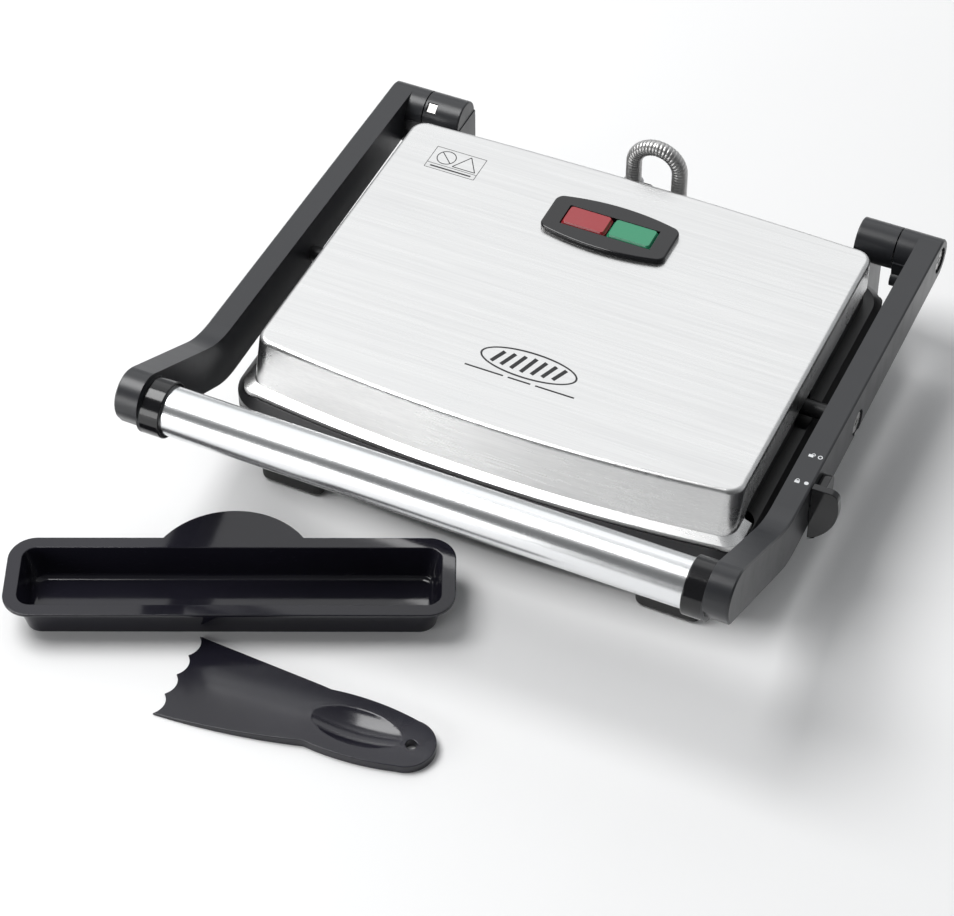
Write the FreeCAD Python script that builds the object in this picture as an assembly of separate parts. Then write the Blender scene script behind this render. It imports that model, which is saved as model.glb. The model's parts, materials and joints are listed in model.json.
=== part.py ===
import FreeCAD, Part
import math
import os

V = FreeCAD.Vector

# Panini press. +X is to the right, +Y to the rear, +Z up. The origin is on the table, under the
# middle of the steel cover. Lengths are in millimetres, angles in degrees.

# ---------------------------------------------------------------- driving sizes
COVER_W = 300.0          # steel cover, side to side
COVER_D = 215.6          # steel cover, front crease to rear edge, at its ends
FRONT_BOW = 10.5         # how far the middle of each front edge stands forward
REAR_BOW = 3.0
SHEET = 1.0              # steel cover's sheet
FRONT_LEAN = 9.2         # the front wall comes forward this much on its way down
FRONT_WALL_H = 27.0
LEDGE_W = 5.0
LEDGE_H = 2.0
SKIRT_H = 7.0
FLANGE_H = 21.5          # side flange
SKIRT_WRAP = 8.0         # how far the skirt runs back round the front corners
COVER_CORNER = 10.0
FOLD_R = 3.0             # fold round the steel cover's top

BASE_OVER_BAY = 20.5     # plane between the two housings, above the tray bay's roof
LID_H = 41.5             # steel cover's top above that plane
PARTING_GAP = 1.0
RIM_SIDE = 11.0          # rims stand this much outside the steel cover
RIM_FRONT = 20.2
RIM_REAR = 10.2
RIM_H = 5.0
RIM_CORNER = 24.0
HOUSING_WALL = 2.8
UNDERCUT = 3.0           # lower body inside its rim
SIDE_DRAFT = 4.0         # the lower body draws in on its way down
FRONT_DRAFT = 2.0
RIM_SLOPE = 5.0          # sloped shoulder over the upper rim
SHOULDER_H = 4.0
ROOF_GAP = 2.0           # steel sheet to the upper housing's roof
ROOF_T = 2.5

PLATE_GAP = 2.2          # between the tips of the facing ribs
RIB_H = 1.9
RIB_W = 5.5
RIB_PITCH = 12.0
PLATE_T = 3.6
PLATE_MARGIN = 0.8       # plate to the wall round it

HEATER_D = 6.5
HEATER_BEND = 26.0
HEATER_TAIL_BEND = 14.0
HEATER_TAIL_X = 22.0     # the element's two tails, each side of the middle
HEATER_TAIL_L = 34.0
HEATER_INSET_X = 40.6    # element's axis inside the plate's sides and front
HEATER_INSET_Y = 30.0
HEATER_REAR = 18.0       # and in front of the tray bay
STAND_H = 8.0            # posts on a plate's back
STAND_R = 5.0
STAND_INSET_X = 70.0
STAND_INSET_Y = 55.0
PAN_T = 0.8              # reflector sheet
PAN_MARGIN = 14.0
PAN_CLEAR = 2.0          # reflector to the tray bay's wall
PLATE_SCREW_R = 1.6
SMALL_HEAD_R = 3.2
SMALL_HEAD_T = 2.0
RIB_FIELD = 9.0          # plain border round the ribs
PLATE_RIM = 3.0          # raised edge of a plate
SPOUT_R = 6.0            # drain under the lower plate
SPOUT_WALL = 1.6
SPOUT_X = 62.0
SPOUT_IN_BAY = 6.0

FOOT_H = 15.0
FOOT_W = 40.0
FOOT_D = 24.0            # rear feet
FRONT_FOOT_D = 30.0
FOOT_ROUND = 5.0
FOOT_INSET = 22.0        # front feet inside the rim's sides
FOOT_AHEAD = 5.0         # and ahead of its front corners

ARM_GAP = 6.6            # rim to the arm's inner face
ARM_T = 14.4
ARM_EDGE = 0.9           # bevel round the arm's outer face
ARM_KNEE_TOP = (11.2, 17.5)   # arm's corners: ahead of the cover's crease, above the hinge axis
ARM_KNEE_LOW = (7.2, -16.4)
ARM_NOSE = (40.2, 43.6)       # ahead of the handle axis, above it
ARM_CHIN = (11.5, -8.1)
ARM_KNEE_TOP_R = 58.0
ARM_KNEE_LOW_R = 50.0
ARM_NOSE_R = 15.0
LUG_R = 5.0              # stop lug under an arm's hinge knuckle
LUG_AHEAD = 12.0
LUG_DROP = 13.0
HINGE_BACK = 31.2        # hinge axis behind the cover's rear edge
HINGE_DROP = 20.0        # hinge axis below the cover's top
BARREL_R = 13.0
BARREL_L = 24.5
BARREL_GAP = 0.8
HINGE_PIN_R = 4.0
LEG_T = 12.0             # hinge bracket's upright
FLANGE_T = 6.0           # its screwed flange
FLANGE_W = 10.0
RUNNING = 0.05           # radial clearance of a pin that turns
FIT = 0.3                # clearance between pieces that are only placed
SCREW_HEAD_R = 7.0
RECESS_R = 8.2
RECESS_D = 3.2

HANDLE_FRONT = 87.2      # tube axis in front of the cover's front crease
HANDLE_RISE = 17.6       # tube axis above the cover's top
TUBE_R = 14.2
TUBE_WALL = 1.5
ELBOW_R = 16.5
ELBOW_L = 12.7           # round end piece, inboard of the arm
SPIGOT_L = 15.0
TIE_R = 2.6

PIVOT_Y = -4.0           # the upper housing turns in the arms here
PIVOT_DROP = 26.5
PIVOT_PIN_R = 3.0
PIVOT_BOSS_R = 4.9
BUSH_WALL = 1.2
NOTCH_HALF = 12.5        # break in the side wall round the pivot boss
NOTCH_DEPTH = 2.0

LOCK_Y = -82.0           # thumb plate of the lock slider, at LOCK
LOCK_TRAVEL = 22.0
LOCK_BLOCK_L = 24.0
LOCK_BLOCK_T = 5.6
LOCK_PLATE_T = 4.6
LOCK_REACH = 16.2        # thumb plate's reach from the arm
LOCK_NECK_T = 3.0
LOCK_NECK_H = 4.4
LOCK_BLOCK_RISE = 9.5    # block's top and foot, from the slot's middle
LOCK_BLOCK_DROP = 11.5
LOCK_HEAD = 16.5         # thumb plate's top and foot
LOCK_HEEL = 23.0
LOCK_TOE = 22.5
LOCK_TOE_T = 4.2
LOCK_CLIP_T = 1.3
LOCK_CLIP_HALF = 8.0

BEZEL_W = 80.0
BEZEL_D_END = 29.0
BEZEL_BOW = 5.5
BEZEL_H = 3.4
BEZEL_Y = 60.5
LENS_W = 28.4
LENS_D = 17.0
LENS_H = 4.2
LENS_SPLIT = 1.0
LAMP_R = 2.6
CUP_R = 4.2              # lamp holder's cups
HOLDER_T = 2.5
HOLDER_SIDE = 6.0
HOLDER_HALF_D = 13.0

LINK_R = 5.0             # sheathed power link
LINK_BEND = 15.0
LINK_X = 2.5             # middle of the loop
LINK_BEHIND_HINGE = -11.0
LINK_CROWN_RISE = 18.0   # top of the loop above the steel cover
GLAND_R = 8.0
GLAND_H = 8.0
SHELF_SIDE = 11.0        # link shelves beside the legs of the loop
SHELF_BEHIND = 2.0
BASE_SHELF_H = 13.0
LID_SHELF_H = 10.0
SHELF_ROUND = 4.0
CORD_R = 3.6             # hole for the mains lead
INLET_X = -80.0
INLET_RISE = 7.6         # inlet's axis above the tray bay
BOTTOM_SCREW_INSET = 66.0
BRACKET_SCREW_R = 2.0
GLAND_WALL = 1.6         # round the mains lead's hole
THERMOSTAT_R = 8.0
THERMOSTAT_H = 5.5
THERMOSTAT_EAR = 14.0
FUSE_R = 2.2
FUSE_L = 24.0
FUSE_Y = -26.0
TERMINAL_L = 44.0
TERMINAL_D = 18.0
TERMINAL_H = 9.0
BOTTOM_T = 1.6           # bottom cover

TRAY_L = 254.0
TRAY_D = 58.8
TRAY_H = 24.0
TRAY_WALL = 2.0
TRAY_LIP = 6.0
TRAY_DRAFT = 5.0
TRAY_CORNER = 16.0
TRAY_TAB_W = 80.0
TRAY_TAB_D = 21.0
TRAY_CLEAR = 3.0         # round the tray in its bay
TRAY_X = -107.4          # where the tray lies: its middle,
TRAY_AHEAD = 99.0        # in front of the rims
TRAY_TURN = 24.4

SCRAPER_L = 155.5
SCRAPER_BLADE_W = 60.0
SCRAPER_BLADE_L = 86.0
SCRAPER_NECK_W = 39.0
SCRAPER_GRIP_W = 41.0
SCRAPER_T = 5.5
SCRAPER_EDGE_T = 1.6
SCRAPER_TEETH = 4
SCRAPER_HOLE_R = 3.2
SCRAPER_HOLE_INSET = 13.5
SCRAPER_TAIL = 16.0      # length of the grip's round end
SCALLOP_DEPTH = 3.4
DISH_L = 54.0            # thumb dish
DISH_W = 25.0
DISH_DEPTH = 3.6
DISH_INSET = 46.0        # its middle from the grip's end
SCRAPER_X = -111.0
SCRAPER_AHEAD = 159.0
SCRAPER_TURN = 2.6

# ---------------------------------------------------------------- derived places
BAY_TOP = TRAY_H + TRAY_CLEAR
PARTING_Z = BAY_TOP + BASE_OVER_BAY
TOP_Z = PARTING_Z + LID_H
HALF = COVER_W / 2
FRONT_Y = -COVER_D / 2
REAR_Y = COVER_D / 2
LEDGE_Z = TOP_Z - FRONT_WALL_H
SKIRT_TOP = LEDGE_Z - LEDGE_H
SKIRT_Z = SKIRT_TOP - SKIRT_H
UPPER_Z = PARTING_Z + PARTING_GAP / 2
LOWER_Z = PARTING_Z - PARTING_GAP / 2
RIM_HALF = HALF + RIM_SIDE
RIM_FRONT_Y = FRONT_Y - RIM_FRONT
RIM_REAR_Y = REAR_Y + RIM_REAR
FOOT_HALF = RIM_HALF - UNDERCUT - SIDE_DRAFT
FOOT_FRONT = RIM_FRONT_Y + UNDERCUT + FRONT_DRAFT
ARM_IN = RIM_HALF + ARM_GAP
ARM_OUT = ARM_IN + ARM_T
HINGE_Y = REAR_Y + HINGE_BACK
HINGE_Z = TOP_Z - HINGE_DROP
BARREL_OUT = ARM_IN - ELBOW_L + BARREL_GAP
BARREL_IN = BARREL_OUT - BARREL_L
LEG_IN = BARREL_IN - 0.5
LEG_OUT = LEG_IN + LEG_T
HANDLE_Y = FRONT_Y - HANDLE_FRONT
HANDLE_Z = TOP_Z + HANDLE_RISE
PIVOT_Z = TOP_Z - PIVOT_DROP
BODY_HALF = HALF - SHEET - FIT
BODY_TOP = TOP_Z - SHEET - ROOF_GAP
CAVITY_HALF = BODY_HALF - HOUSING_WALL
PLATE_HALF = CAVITY_HALF - PLATE_MARGIN
PLATE_FRONT = FRONT_Y + SHEET + FIT + HOUSING_WALL + PLATE_MARGIN
PLATE_REAR = REAR_Y - 4.5
BAY_FRONT = REAR_Y - 15.0
BAY_HALF = TRAY_L / 2 + TRAY_CLEAR
STANDS = [(side * (PLATE_HALF - STAND_INSET_X), y) for side in (-1, 1)
          for y in (PLATE_FRONT + STAND_INSET_Y, BAY_FRONT - STAND_INSET_Y)]
BOTTOM_SCREWS = [(side * (HALF - BOTTOM_SCREW_INSET), y) for side in (-1, 1)
                 for y in (FRONT_Y + 20, BAY_FRONT - 14)]
SPOUT_Y = BAY_FRONT + SPOUT_IN_BAY
INLET_Z = BAY_TOP + INLET_RISE
TRAY_AT = (TRAY_X, RIM_FRONT_Y - TRAY_AHEAD)
SCRAPER_AT = (SCRAPER_X, RIM_FRONT_Y - SCRAPER_AHEAD)
UP = V(0, 0, 1)
ACROSS = V(1, 0, 0)
BACK = V(0, 1, 0)


# ---------------------------------------------------------------- shape helpers
def box(x0, x1, y0, y1, z0, z1):
    return Part.makeBox(x1 - x0, y1 - y0, z1 - z0, V(x0, y0, z0))


def rod(radius, start, end):
    run = end - start
    return Part.makeCylinder(radius, run.Length, start, run)


def rod_x(radius, x0, x1, y, z):
    return rod(radius, V(x0, y, z), V(x1, y, z))


def rod_z(radius, z0, z1, x, y):
    return rod(radius, V(x, y, z0), V(x, y, z1))


def mirrored(shape):
    return shape.mirror(V(0, 0, 0), ACROSS)


def join(*shapes):
    return shapes[0].fuse(list(shapes[1:])).removeSplitter()


def upright_edges(shape):
    found = []
    for edge in shape.Edges:
        ends = [v.Point for v in edge.Vertexes]
        if len(ends) == 2 and abs(ends[0].z - ends[1].z) > 0.9 * edge.Length:
            found.append(edge)
    return found


def edges_at_z(shape, z):
    return [e for e in shape.Edges if abs(e.BoundBox.ZMin - z) < 0.01 and abs(e.BoundBox.ZMax - z) < 0.01]


def edges_at_x(shape, x):
    return [e for e in shape.Edges if abs(e.BoundBox.XMin - x) < 0.01 and abs(e.BoundBox.XMax - x) < 0.01]


def slab(half, front, rear, z0, z1, corner, bow=FRONT_BOW, rear_bow=REAR_BOW):
    """Block with straight sides, a bowed front and rear, and rounded upright corners."""
    left_front = V(-half, front, z0)
    right_front = V(half, front, z0)
    right_rear = V(half, rear, z0)
    left_rear = V(-half, rear, z0)
    edges = [
        Part.Arc(left_front, V(0, front - bow, z0), right_front).toShape(),
        Part.makeLine(right_front, right_rear),
        Part.Arc(right_rear, V(0, rear + rear_bow, z0), left_rear).toShape(),
        Part.makeLine(left_rear, left_front),
    ]
    block = Part.Face(Part.Wire(edges)).extrude(V(0, 0, z1 - z0))
    return block.makeFillet(corner, upright_edges(block))


def ring(half, front, rear, z, corner):
    """Closed outline of a slab, as a wire at one height."""
    block = slab(half, front, rear, z - 1, z, corner)
    tops = [f for f in block.Faces if abs(f.BoundBox.ZMin - z) < 0.01]
    return tops[0].OuterWire


def loft(low, high):
    return Part.makeLoft([low, high], True, True)


def bar(length, depth, z0, z1, corner):
    block = box(-length / 2, length / 2, -depth / 2, depth / 2, z0, z1)
    return block.makeFillet(corner, upright_edges(block))


def placed(shape, at, turn):
    moved = shape.copy()
    moved.rotate(V(0, 0, 0), UP, turn)
    moved.translate(V(at[0], at[1], 0))
    return moved


def save(name, shape):
    solids = shape.Solids
    whole = solids[0] if len(solids) == 1 else Part.makeCompound(solids)
    whole.exportStep("parts/" + name + ".step")
    print(name, len(solids), "solid(s)", round(whole.Volume / 1000, 2), "cm3", "valid", whole.isValid())


# ---------------------------------------------------------------- steel cover
def cover_form(inset):
    """The cover's outer form, or with an inset the hollow under its sheet."""
    top = TOP_Z - inset
    half = HALF - inset
    front = FRONT_Y + inset
    rear = REAR_Y - inset
    corner = COVER_CORNER - inset
    foot = SKIRT_Z - (1.0 if inset else 0.0)
    crease = ring(half, front, rear, top, corner)
    wall_foot = ring(half, front - FRONT_LEAN, rear, LEDGE_Z - inset, corner)
    skirt_head = ring(half + LEDGE_W, front - FRONT_LEAN - LEDGE_W, rear, SKIRT_TOP - inset, corner)
    skirt_foot = ring(half + LEDGE_W, front - FRONT_LEAN - LEDGE_W, rear, foot, corner)
    return join(loft(wall_foot, crease), loft(skirt_head, wall_foot), loft(skirt_foot, skirt_head))


def steel_cover():
    outer = cover_form(0.0)
    outer = outer.makeFillet(FOLD_R, edges_at_z(outer, TOP_Z))
    shell = outer.cut(cover_form(SHEET))
    back = FRONT_Y + SKIRT_WRAP
    trim = box(-RIM_HALF, RIM_HALF, back, RIM_REAR_Y, 0, TOP_Z - FLANGE_H)
    lead = [e for e in trim.Edges if abs(e.BoundBox.YMax - back) < 0.01
            and abs(e.BoundBox.ZMin - (TOP_Z - FLANGE_H)) < 0.01]
    shell = shell.cut(trim.makeFillet(FLANGE_H / 2, lead))
    wide = box(HALF + FIT / 2, RIM_HALF, back, RIM_REAR_Y, 0, TOP_Z)
    shell = shell.cut(wide).cut(mirrored(wide))
    return shell.cut(lens_pocket(TOP_Z - 3, TOP_Z + 1, FIT))


# ---------------------------------------------------------------- housings and plates
def pivot_pieces(side):
    """Boss, bush and screw where the upper housing turns in one arm."""
    boss = rod_x(PIVOT_BOSS_R, CAVITY_HALF, ARM_IN - 0.7, PIVOT_Y, PIVOT_Z)
    bush_r = PIVOT_PIN_R + RUNNING + BUSH_WALL
    hole = rod_x(bush_r, CAVITY_HALF - 1, ARM_IN, PIVOT_Y, PIVOT_Z)
    bush = rod_x(bush_r, CAVITY_HALF, ARM_IN - 0.7, PIVOT_Y, PIVOT_Z)
    bush = bush.cut(rod_x(PIVOT_PIN_R + RUNNING, CAVITY_HALF - 1, ARM_IN, PIVOT_Y, PIVOT_Z))
    head_foot = ARM_OUT - RECESS_D
    shank = rod_x(PIVOT_PIN_R, CAVITY_HALF + 1, head_foot, PIVOT_Y, PIVOT_Z)
    head = rod_x(SCREW_HEAD_R, head_foot, head_foot + 2.4, PIVOT_Y, PIVOT_Z)
    head = head.makeFillet(0.8, edges_at_x(head, head_foot + 2.4))
    slot = cross_slot(head_foot + 2.4, PIVOT_Y, PIVOT_Z)
    screw = join(shank, head).cut(slot)
    pieces = [boss, hole, bush, screw]
    return pieces if side > 0 else [mirrored(p) for p in pieces]


def cross_slot(x_face, y, z):
    """Cross recess in a screw head that faces +X."""
    reach = 3.2
    width = 0.6
    depth = 1.3
    tall = box(x_face - depth, x_face + 1, y - width, y + width, z - reach, z + reach)
    flat = box(x_face - depth, x_face + 1, y - reach, y + reach, z - width, z + width)
    return tall.fuse(flat)


def upper_housing():
    body = slab(BODY_HALF, FRONT_Y + SHEET + FIT, REAR_Y - SHEET - FIT, UPPER_Z, BODY_TOP, COVER_CORNER)
    rim = slab(RIM_HALF, RIM_FRONT_Y, RIM_REAR_Y, UPPER_Z, UPPER_Z + RIM_H, RIM_CORNER)
    slope_foot = ring(RIM_HALF, RIM_FRONT_Y, RIM_REAR_Y, UPPER_Z + RIM_H, RIM_CORNER)
    slope_head = ring(RIM_HALF - RIM_SLOPE, RIM_FRONT_Y + RIM_SLOPE, RIM_REAR_Y - RIM_SLOPE,
                      UPPER_Z + RIM_H + SHOULDER_H, RIM_CORNER - RIM_SLOPE)
    shell = join(body, rim, loft(slope_foot, slope_head))
    hollow = slab(CAVITY_HALF, PLATE_FRONT - PLATE_MARGIN, PLATE_REAR + PLATE_MARGIN, UPPER_Z - 1,
                  BODY_TOP - ROOF_T, COVER_CORNER - HOUSING_WALL)
    shell = shell.cut(hollow)
    seat = slab(HALF + LEDGE_W + FIT, FRONT_Y - FRONT_LEAN - LEDGE_W - FIT,
                FRONT_Y + SKIRT_WRAP + COVER_CORNER + 1, SKIRT_Z - FIT, TOP_Z, COVER_CORNER,
                FRONT_BOW, 0.01)
    keep = slab(BODY_HALF, FRONT_Y + SHEET + FIT, REAR_Y, 0, TOP_Z + 1, COVER_CORNER)
    shell = shell.cut(seat.cut(keep))
    for side in (1, -1):
        notch = box(HALF - SHEET - FIT - NOTCH_DEPTH, RIM_HALF - RIM_SLOPE - 0.5, PIVOT_Y - NOTCH_HALF,
                    PIVOT_Y + NOTCH_HALF, UPPER_Z + RIM_H + 0.5, TOP_Z - FLANGE_H + 3)
        notch = notch if side > 0 else mirrored(notch)
        boss, hole = pivot_pieces(side)[:2]
        shell = join(shell.cut(notch), boss).cut(hole)
    shelf = box(LINK_X - LINK_BEND - SHELF_SIDE, LINK_X - LINK_BEND + SHELF_SIDE, PLATE_REAR + REAR_BOW + 1.5,
                link_y() + GLAND_R + SHELF_BEHIND, UPPER_Z + RIM_H + 1, UPPER_Z + RIM_H + LID_SHELF_H)
    shelf = shelf.makeFillet(SHELF_ROUND, [e for e in upright_edges(shelf) if e.BoundBox.YMin > REAR_Y])
    shelf_bore = rod_z(LINK_R + FIT, 0, TOP_Z, LINK_X - LINK_BEND, link_y())
    shell = join(shell, shelf).cut(shelf_bore)
    return shell.cut(lens_pocket(BODY_TOP - ROOF_T - 1.5, TOP_Z, 1.5))


def grill_plate(face_z, direction):
    """Ribbed plate. The rib tips are at face_z and the plate's back is in the given direction."""
    step = direction * RIB_H
    root = face_z + step
    back = root + direction * PLATE_T
    low, high = min(root, back), max(root, back)
    plate = slab(PLATE_HALF, PLATE_FRONT, PLATE_REAR, low, high, COVER_CORNER - HOUSING_WALL)
    tips_low, tips_high = min(face_z, root), max(face_z, root)
    edge = RIB_FIELD
    count = int((PLATE_HALF - edge) / RIB_PITCH)
    bars = []
    for index in range(-count, count + 1):
        x = index * RIB_PITCH
        foot = 0.2 * direction
        section = [V(x - RIB_W / 2, 0, root + foot), V(x + RIB_W / 2, 0, root + foot),
                   V(x + RIB_W / 4, 0, face_z), V(x - RIB_W / 4, 0, face_z)]
        profile = Part.Face(Part.makePolygon(section + section[:1]))
        profile.translate(V(0, RIM_FRONT_Y, 0))
        bars.append(profile.extrude(V(0, RIM_REAR_Y - RIM_FRONT_Y, 0)))
    tall = slab(PLATE_HALF - edge, PLATE_FRONT + edge, PLATE_REAR - edge, tips_low - 1, tips_high + 1, 4)
    bars = [b.common(tall) for b in bars]
    rim_wall = slab(PLATE_HALF, PLATE_FRONT, PLATE_REAR, tips_low, tips_high, COVER_CORNER - HOUSING_WALL)
    inside = slab(PLATE_HALF - PLATE_RIM, PLATE_FRONT + PLATE_RIM, PLATE_REAR - PLATE_RIM, tips_low - 1,
                  tips_high + 1, 5)
    rim_wall = rim_wall.cut(inside)
    stands = [rod_z(STAND_R, min(back, back + direction * STAND_H), max(back, back + direction * STAND_H), x, y)
              for x, y in STANDS]
    whole = join(plate, rim_wall, *bars, *stands)
    tap_low = min(back, back + direction * STAND_H) - 1
    tap_high = max(back, back + direction * STAND_H) + 1
    if direction > 0:
        tap_low = back
    else:
        tap_high = back
    for x, y in STANDS:
        whole = whole.cut(rod_z(PLATE_SCREW_R, tap_low, tap_high, x, y))
    return whole


def plate_screws(back_z, direction):
    """Screws that hold the reflector on the plate's stands."""
    screws = []
    seat = back_z + direction * (STAND_H + PAN_T)
    for x, y in STANDS:
        tip = seat - direction * 7
        shank = rod_z(PLATE_SCREW_R, min(tip, seat), max(tip, seat), x, y)
        top = seat + direction * SMALL_HEAD_T
        head = rod_z(SMALL_HEAD_R, min(seat, top), max(seat, top), x, y)
        screws.append(shank.fuse(head).removeSplitter())
    return Part.makeCompound(screws)


def reflector(back_z, direction):
    seat = back_z + direction * STAND_H
    outer = seat + direction * PAN_T
    low, high = min(seat, outer), max(seat, outer)
    rear = BAY_FRONT - HOUSING_WALL - REAR_BOW - PAN_CLEAR
    pan = slab(PLATE_HALF - PAN_MARGIN, PLATE_FRONT + PAN_MARGIN, rear, low, high, 8)
    for x, y in STANDS:
        pan = pan.cut(rod_z(PLATE_SCREW_R, low - 1, high + 1, x, y))
    return pan


def heater(back_z, direction):
    """Tubular element bent into a loop open at the rear, lying on the plate's back."""
    r = HEATER_D / 2
    z = back_z + direction * r
    half = PLATE_HALF - HEATER_INSET_X
    front = PLATE_FRONT + HEATER_INSET_Y
    rear = BAY_FRONT - HEATER_REAR
    inner = HEATER_TAIL_X
    tail = rear - HEATER_TAIL_L
    corners = [V(-inner, tail, z), V(-inner, rear, z), V(-half, rear, z), V(-half, front, z),
               V(half, front, z), V(half, rear, z), V(inner, rear, z), V(inner, tail, z)]
    path = bent_path(corners, [HEATER_TAIL_BEND] + [HEATER_BEND] * 4 + [HEATER_TAIL_BEND])
    return tube_along(path, r)


def bent_path(points, radii):
    """Straight runs joined by tangent arcs of the given radii."""
    edges = []
    start = points[0]
    for before, corner, after, radius in zip(points, points[1:], points[2:], radii):
        inward = (before - corner).normalize()
        outward = (after - corner).normalize()
        half_angle = inward.getAngle(outward) / 2
        reach = radius / math.tan(half_angle)
        entry = corner + inward * reach
        leave = corner + outward * reach
        bisector = (inward + outward).normalize()
        middle = corner + bisector * (radius / math.sin(half_angle) - radius)
        edges.append(Part.LineSegment(start, entry).toShape())
        edges.append(Part.Arc(entry, middle, leave).toShape())
        start = leave
    edges.append(Part.LineSegment(start, points[-1]).toShape())
    return Part.Wire(edges)


def tube_along(path, radius):
    first = path.Edges[0]
    start = first.valueAt(first.FirstParameter)
    heading = first.tangentAt(first.FirstParameter)
    circle = Part.Wire(Part.makeCircle(radius, start, heading))
    tube = path.makePipeShell([circle], True, False)
    print("  tube length", round(path.Length, 1), "volume ratio",
          round(tube.Volume / (math.pi * radius ** 2 * path.Length), 4))
    return tube


def lower_housing():
    rim = slab(RIM_HALF, RIM_FRONT_Y, RIM_REAR_Y, LOWER_Z - RIM_H, LOWER_Z, RIM_CORNER)
    wall = HOUSING_WALL
    head = UNDERCUT + wall
    body_head = ring(RIM_HALF - UNDERCUT, RIM_FRONT_Y + UNDERCUT, RIM_REAR_Y - UNDERCUT, LOWER_Z - RIM_H,
                     RIM_CORNER - UNDERCUT)
    body_foot = ring(FOOT_HALF, FOOT_FRONT, RIM_REAR_Y - UNDERCUT, FOOT_H, RIM_CORNER - UNDERCUT)
    hollow_foot = ring(FOOT_HALF - wall, FOOT_FRONT + wall, RIM_REAR_Y - head, FOOT_H, RIM_CORNER - head)
    hollow_head = ring(RIM_HALF - head - 2, RIM_FRONT_Y + head + 1, RIM_REAR_Y - head, LOWER_Z - RIM_H,
                       RIM_CORNER - head)
    well = slab(CAVITY_HALF, PLATE_FRONT - PLATE_MARGIN, PLATE_REAR + PLATE_MARGIN, LOWER_Z - RIM_H - 1,
                LOWER_Z + 1, COVER_CORNER)
    shell = join(rim, loft(body_foot, body_head)).cut(loft(hollow_foot, hollow_head)).cut(well)
    roof = box(-BAY_HALF - wall, BAY_HALF + wall, BAY_FRONT - wall, RIM_REAR_Y - 4, FOOT_H, BAY_TOP + wall)
    shelf = box(LINK_X - LINK_BEND - SHELF_SIDE, LINK_X + LINK_BEND + SHELF_SIDE, RIM_REAR_Y - 5,
                link_y() + GLAND_R + SHELF_BEHIND, BAY_TOP, BAY_TOP + BASE_SHELF_H)
    shelf = shelf.makeFillet(SHELF_ROUND, [e for e in upright_edges(shelf) if e.BoundBox.YMin > RIM_REAR_Y])
    shell = join(shell, roof, shelf)
    shell = shell.cut(box(-BAY_HALF, BAY_HALF, BAY_FRONT, RIM_REAR_Y + 1, 0, BAY_TOP))
    shell = shell.cut(rod_z(LINK_R + FIT, BAY_TOP + 3, TOP_Z, LINK_X + LINK_BEND, link_y()))
    shell = shell.cut(rod_z(SPOUT_R + FIT, 0, TOP_Z, SPOUT_X, SPOUT_Y))
    inlet = rod(CORD_R + GLAND_WALL, V(INLET_X, RIM_REAR_Y - 10, INLET_Z), V(INLET_X, RIM_REAR_Y + 4, INLET_Z))
    shell = shell.cut(inlet)
    for hole in bracket_screw_places():
        shell = shell.cut(rod(BRACKET_SCREW_R, hole - BACK * 9, hole + BACK * 2))
        shell = shell.cut(mirrored(rod(BRACKET_SCREW_R, hole - BACK * 9, hole + BACK * 2)))
    return shell


def back_wall(x):
    """Outer face of the lower housing's bowed rear wall, at x."""
    half = RIM_HALF - UNDERCUT
    return RIM_REAR_Y - UNDERCUT + REAR_BOW * (1 - (x / half) ** 2)


def link_y():
    return HINGE_Y + LINK_BEHIND_HINGE


def lower_grill_plate():
    plate = grill_plate(plate_face(-1), -1)
    back = plate_back(-1)
    spout = rod_z(SPOUT_R, BAY_TOP + 0.5, back + 0.5, SPOUT_X, SPOUT_Y)
    return join(plate, spout).cut(rod_z(SPOUT_R - SPOUT_WALL, 0, TOP_Z, SPOUT_X, SPOUT_Y))


def plate_face(direction):
    return PARTING_Z + direction * PLATE_GAP / 2


def plate_back(direction):
    return plate_face(direction) + direction * (RIB_H + PLATE_T)


def bottom_cover():
    inset = HOUSING_WALL + FIT
    sheet = slab(FOOT_HALF - inset, FOOT_FRONT + inset, BAY_FRONT - HOUSING_WALL - FIT, FOOT_H,
                 FOOT_H + BOTTOM_T, RIM_CORNER - UNDERCUT - inset, FRONT_BOW, 0.01)
    vent_l = 46.0
    vent_w = 4.0
    for row in range(5):
        for side in (-1, 0, 1):
            x = side * (HALF - 42)
            y = -30.0 + row * 12.0
            sheet = sheet.cut(box(x - vent_l / 2, x + vent_l / 2, y - vent_w / 2, y + vent_w / 2, 0, TOP_Z))
    for x, y in BOTTOM_SCREWS:
        sheet = sheet.cut(rod_z(PLATE_SCREW_R, 0, TOP_Z, x, y))
    return sheet


def bottom_screws():
    screws = []
    for x, y in BOTTOM_SCREWS:
        head = rod_z(SMALL_HEAD_R, FOOT_H - SMALL_HEAD_T, FOOT_H, x, y)
        screws.append(head.fuse(rod_z(PLATE_SCREW_R, FOOT_H, FOOT_H + 6, x, y)).removeSplitter())
    return Part.makeCompound(screws)


# ---------------------------------------------------------------- feet and hinge brackets
def foot(x0, y0, width, depth):
    block = box(x0, x0 + width, y0, y0 + depth, 0, FOOT_H)
    block = block.makeFillet(FOOT_ROUND, upright_edges(block))
    return block.makeFillet(FOOT_ROUND * 0.7, edges_at_z(block, 0))


def rubber_feet():
    front = foot(RIM_HALF - FOOT_INSET - FOOT_W, RIM_FRONT_Y - FOOT_AHEAD, FOOT_W, FRONT_FOOT_D)
    rear = foot(LEG_IN, HINGE_Y - FOOT_D / 2, LEG_T + 5, FOOT_D)
    return Part.makeCompound([front, mirrored(front), rear, mirrored(rear)])


def bracket_screw_places():
    x = LEG_OUT + 4.5
    return [V(x, bracket_wall(), z) for z in (BAY_TOP - 3, LOWER_Z - RIM_H - 6)]


def bracket_wall():
    return back_wall(LEG_IN)


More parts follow.
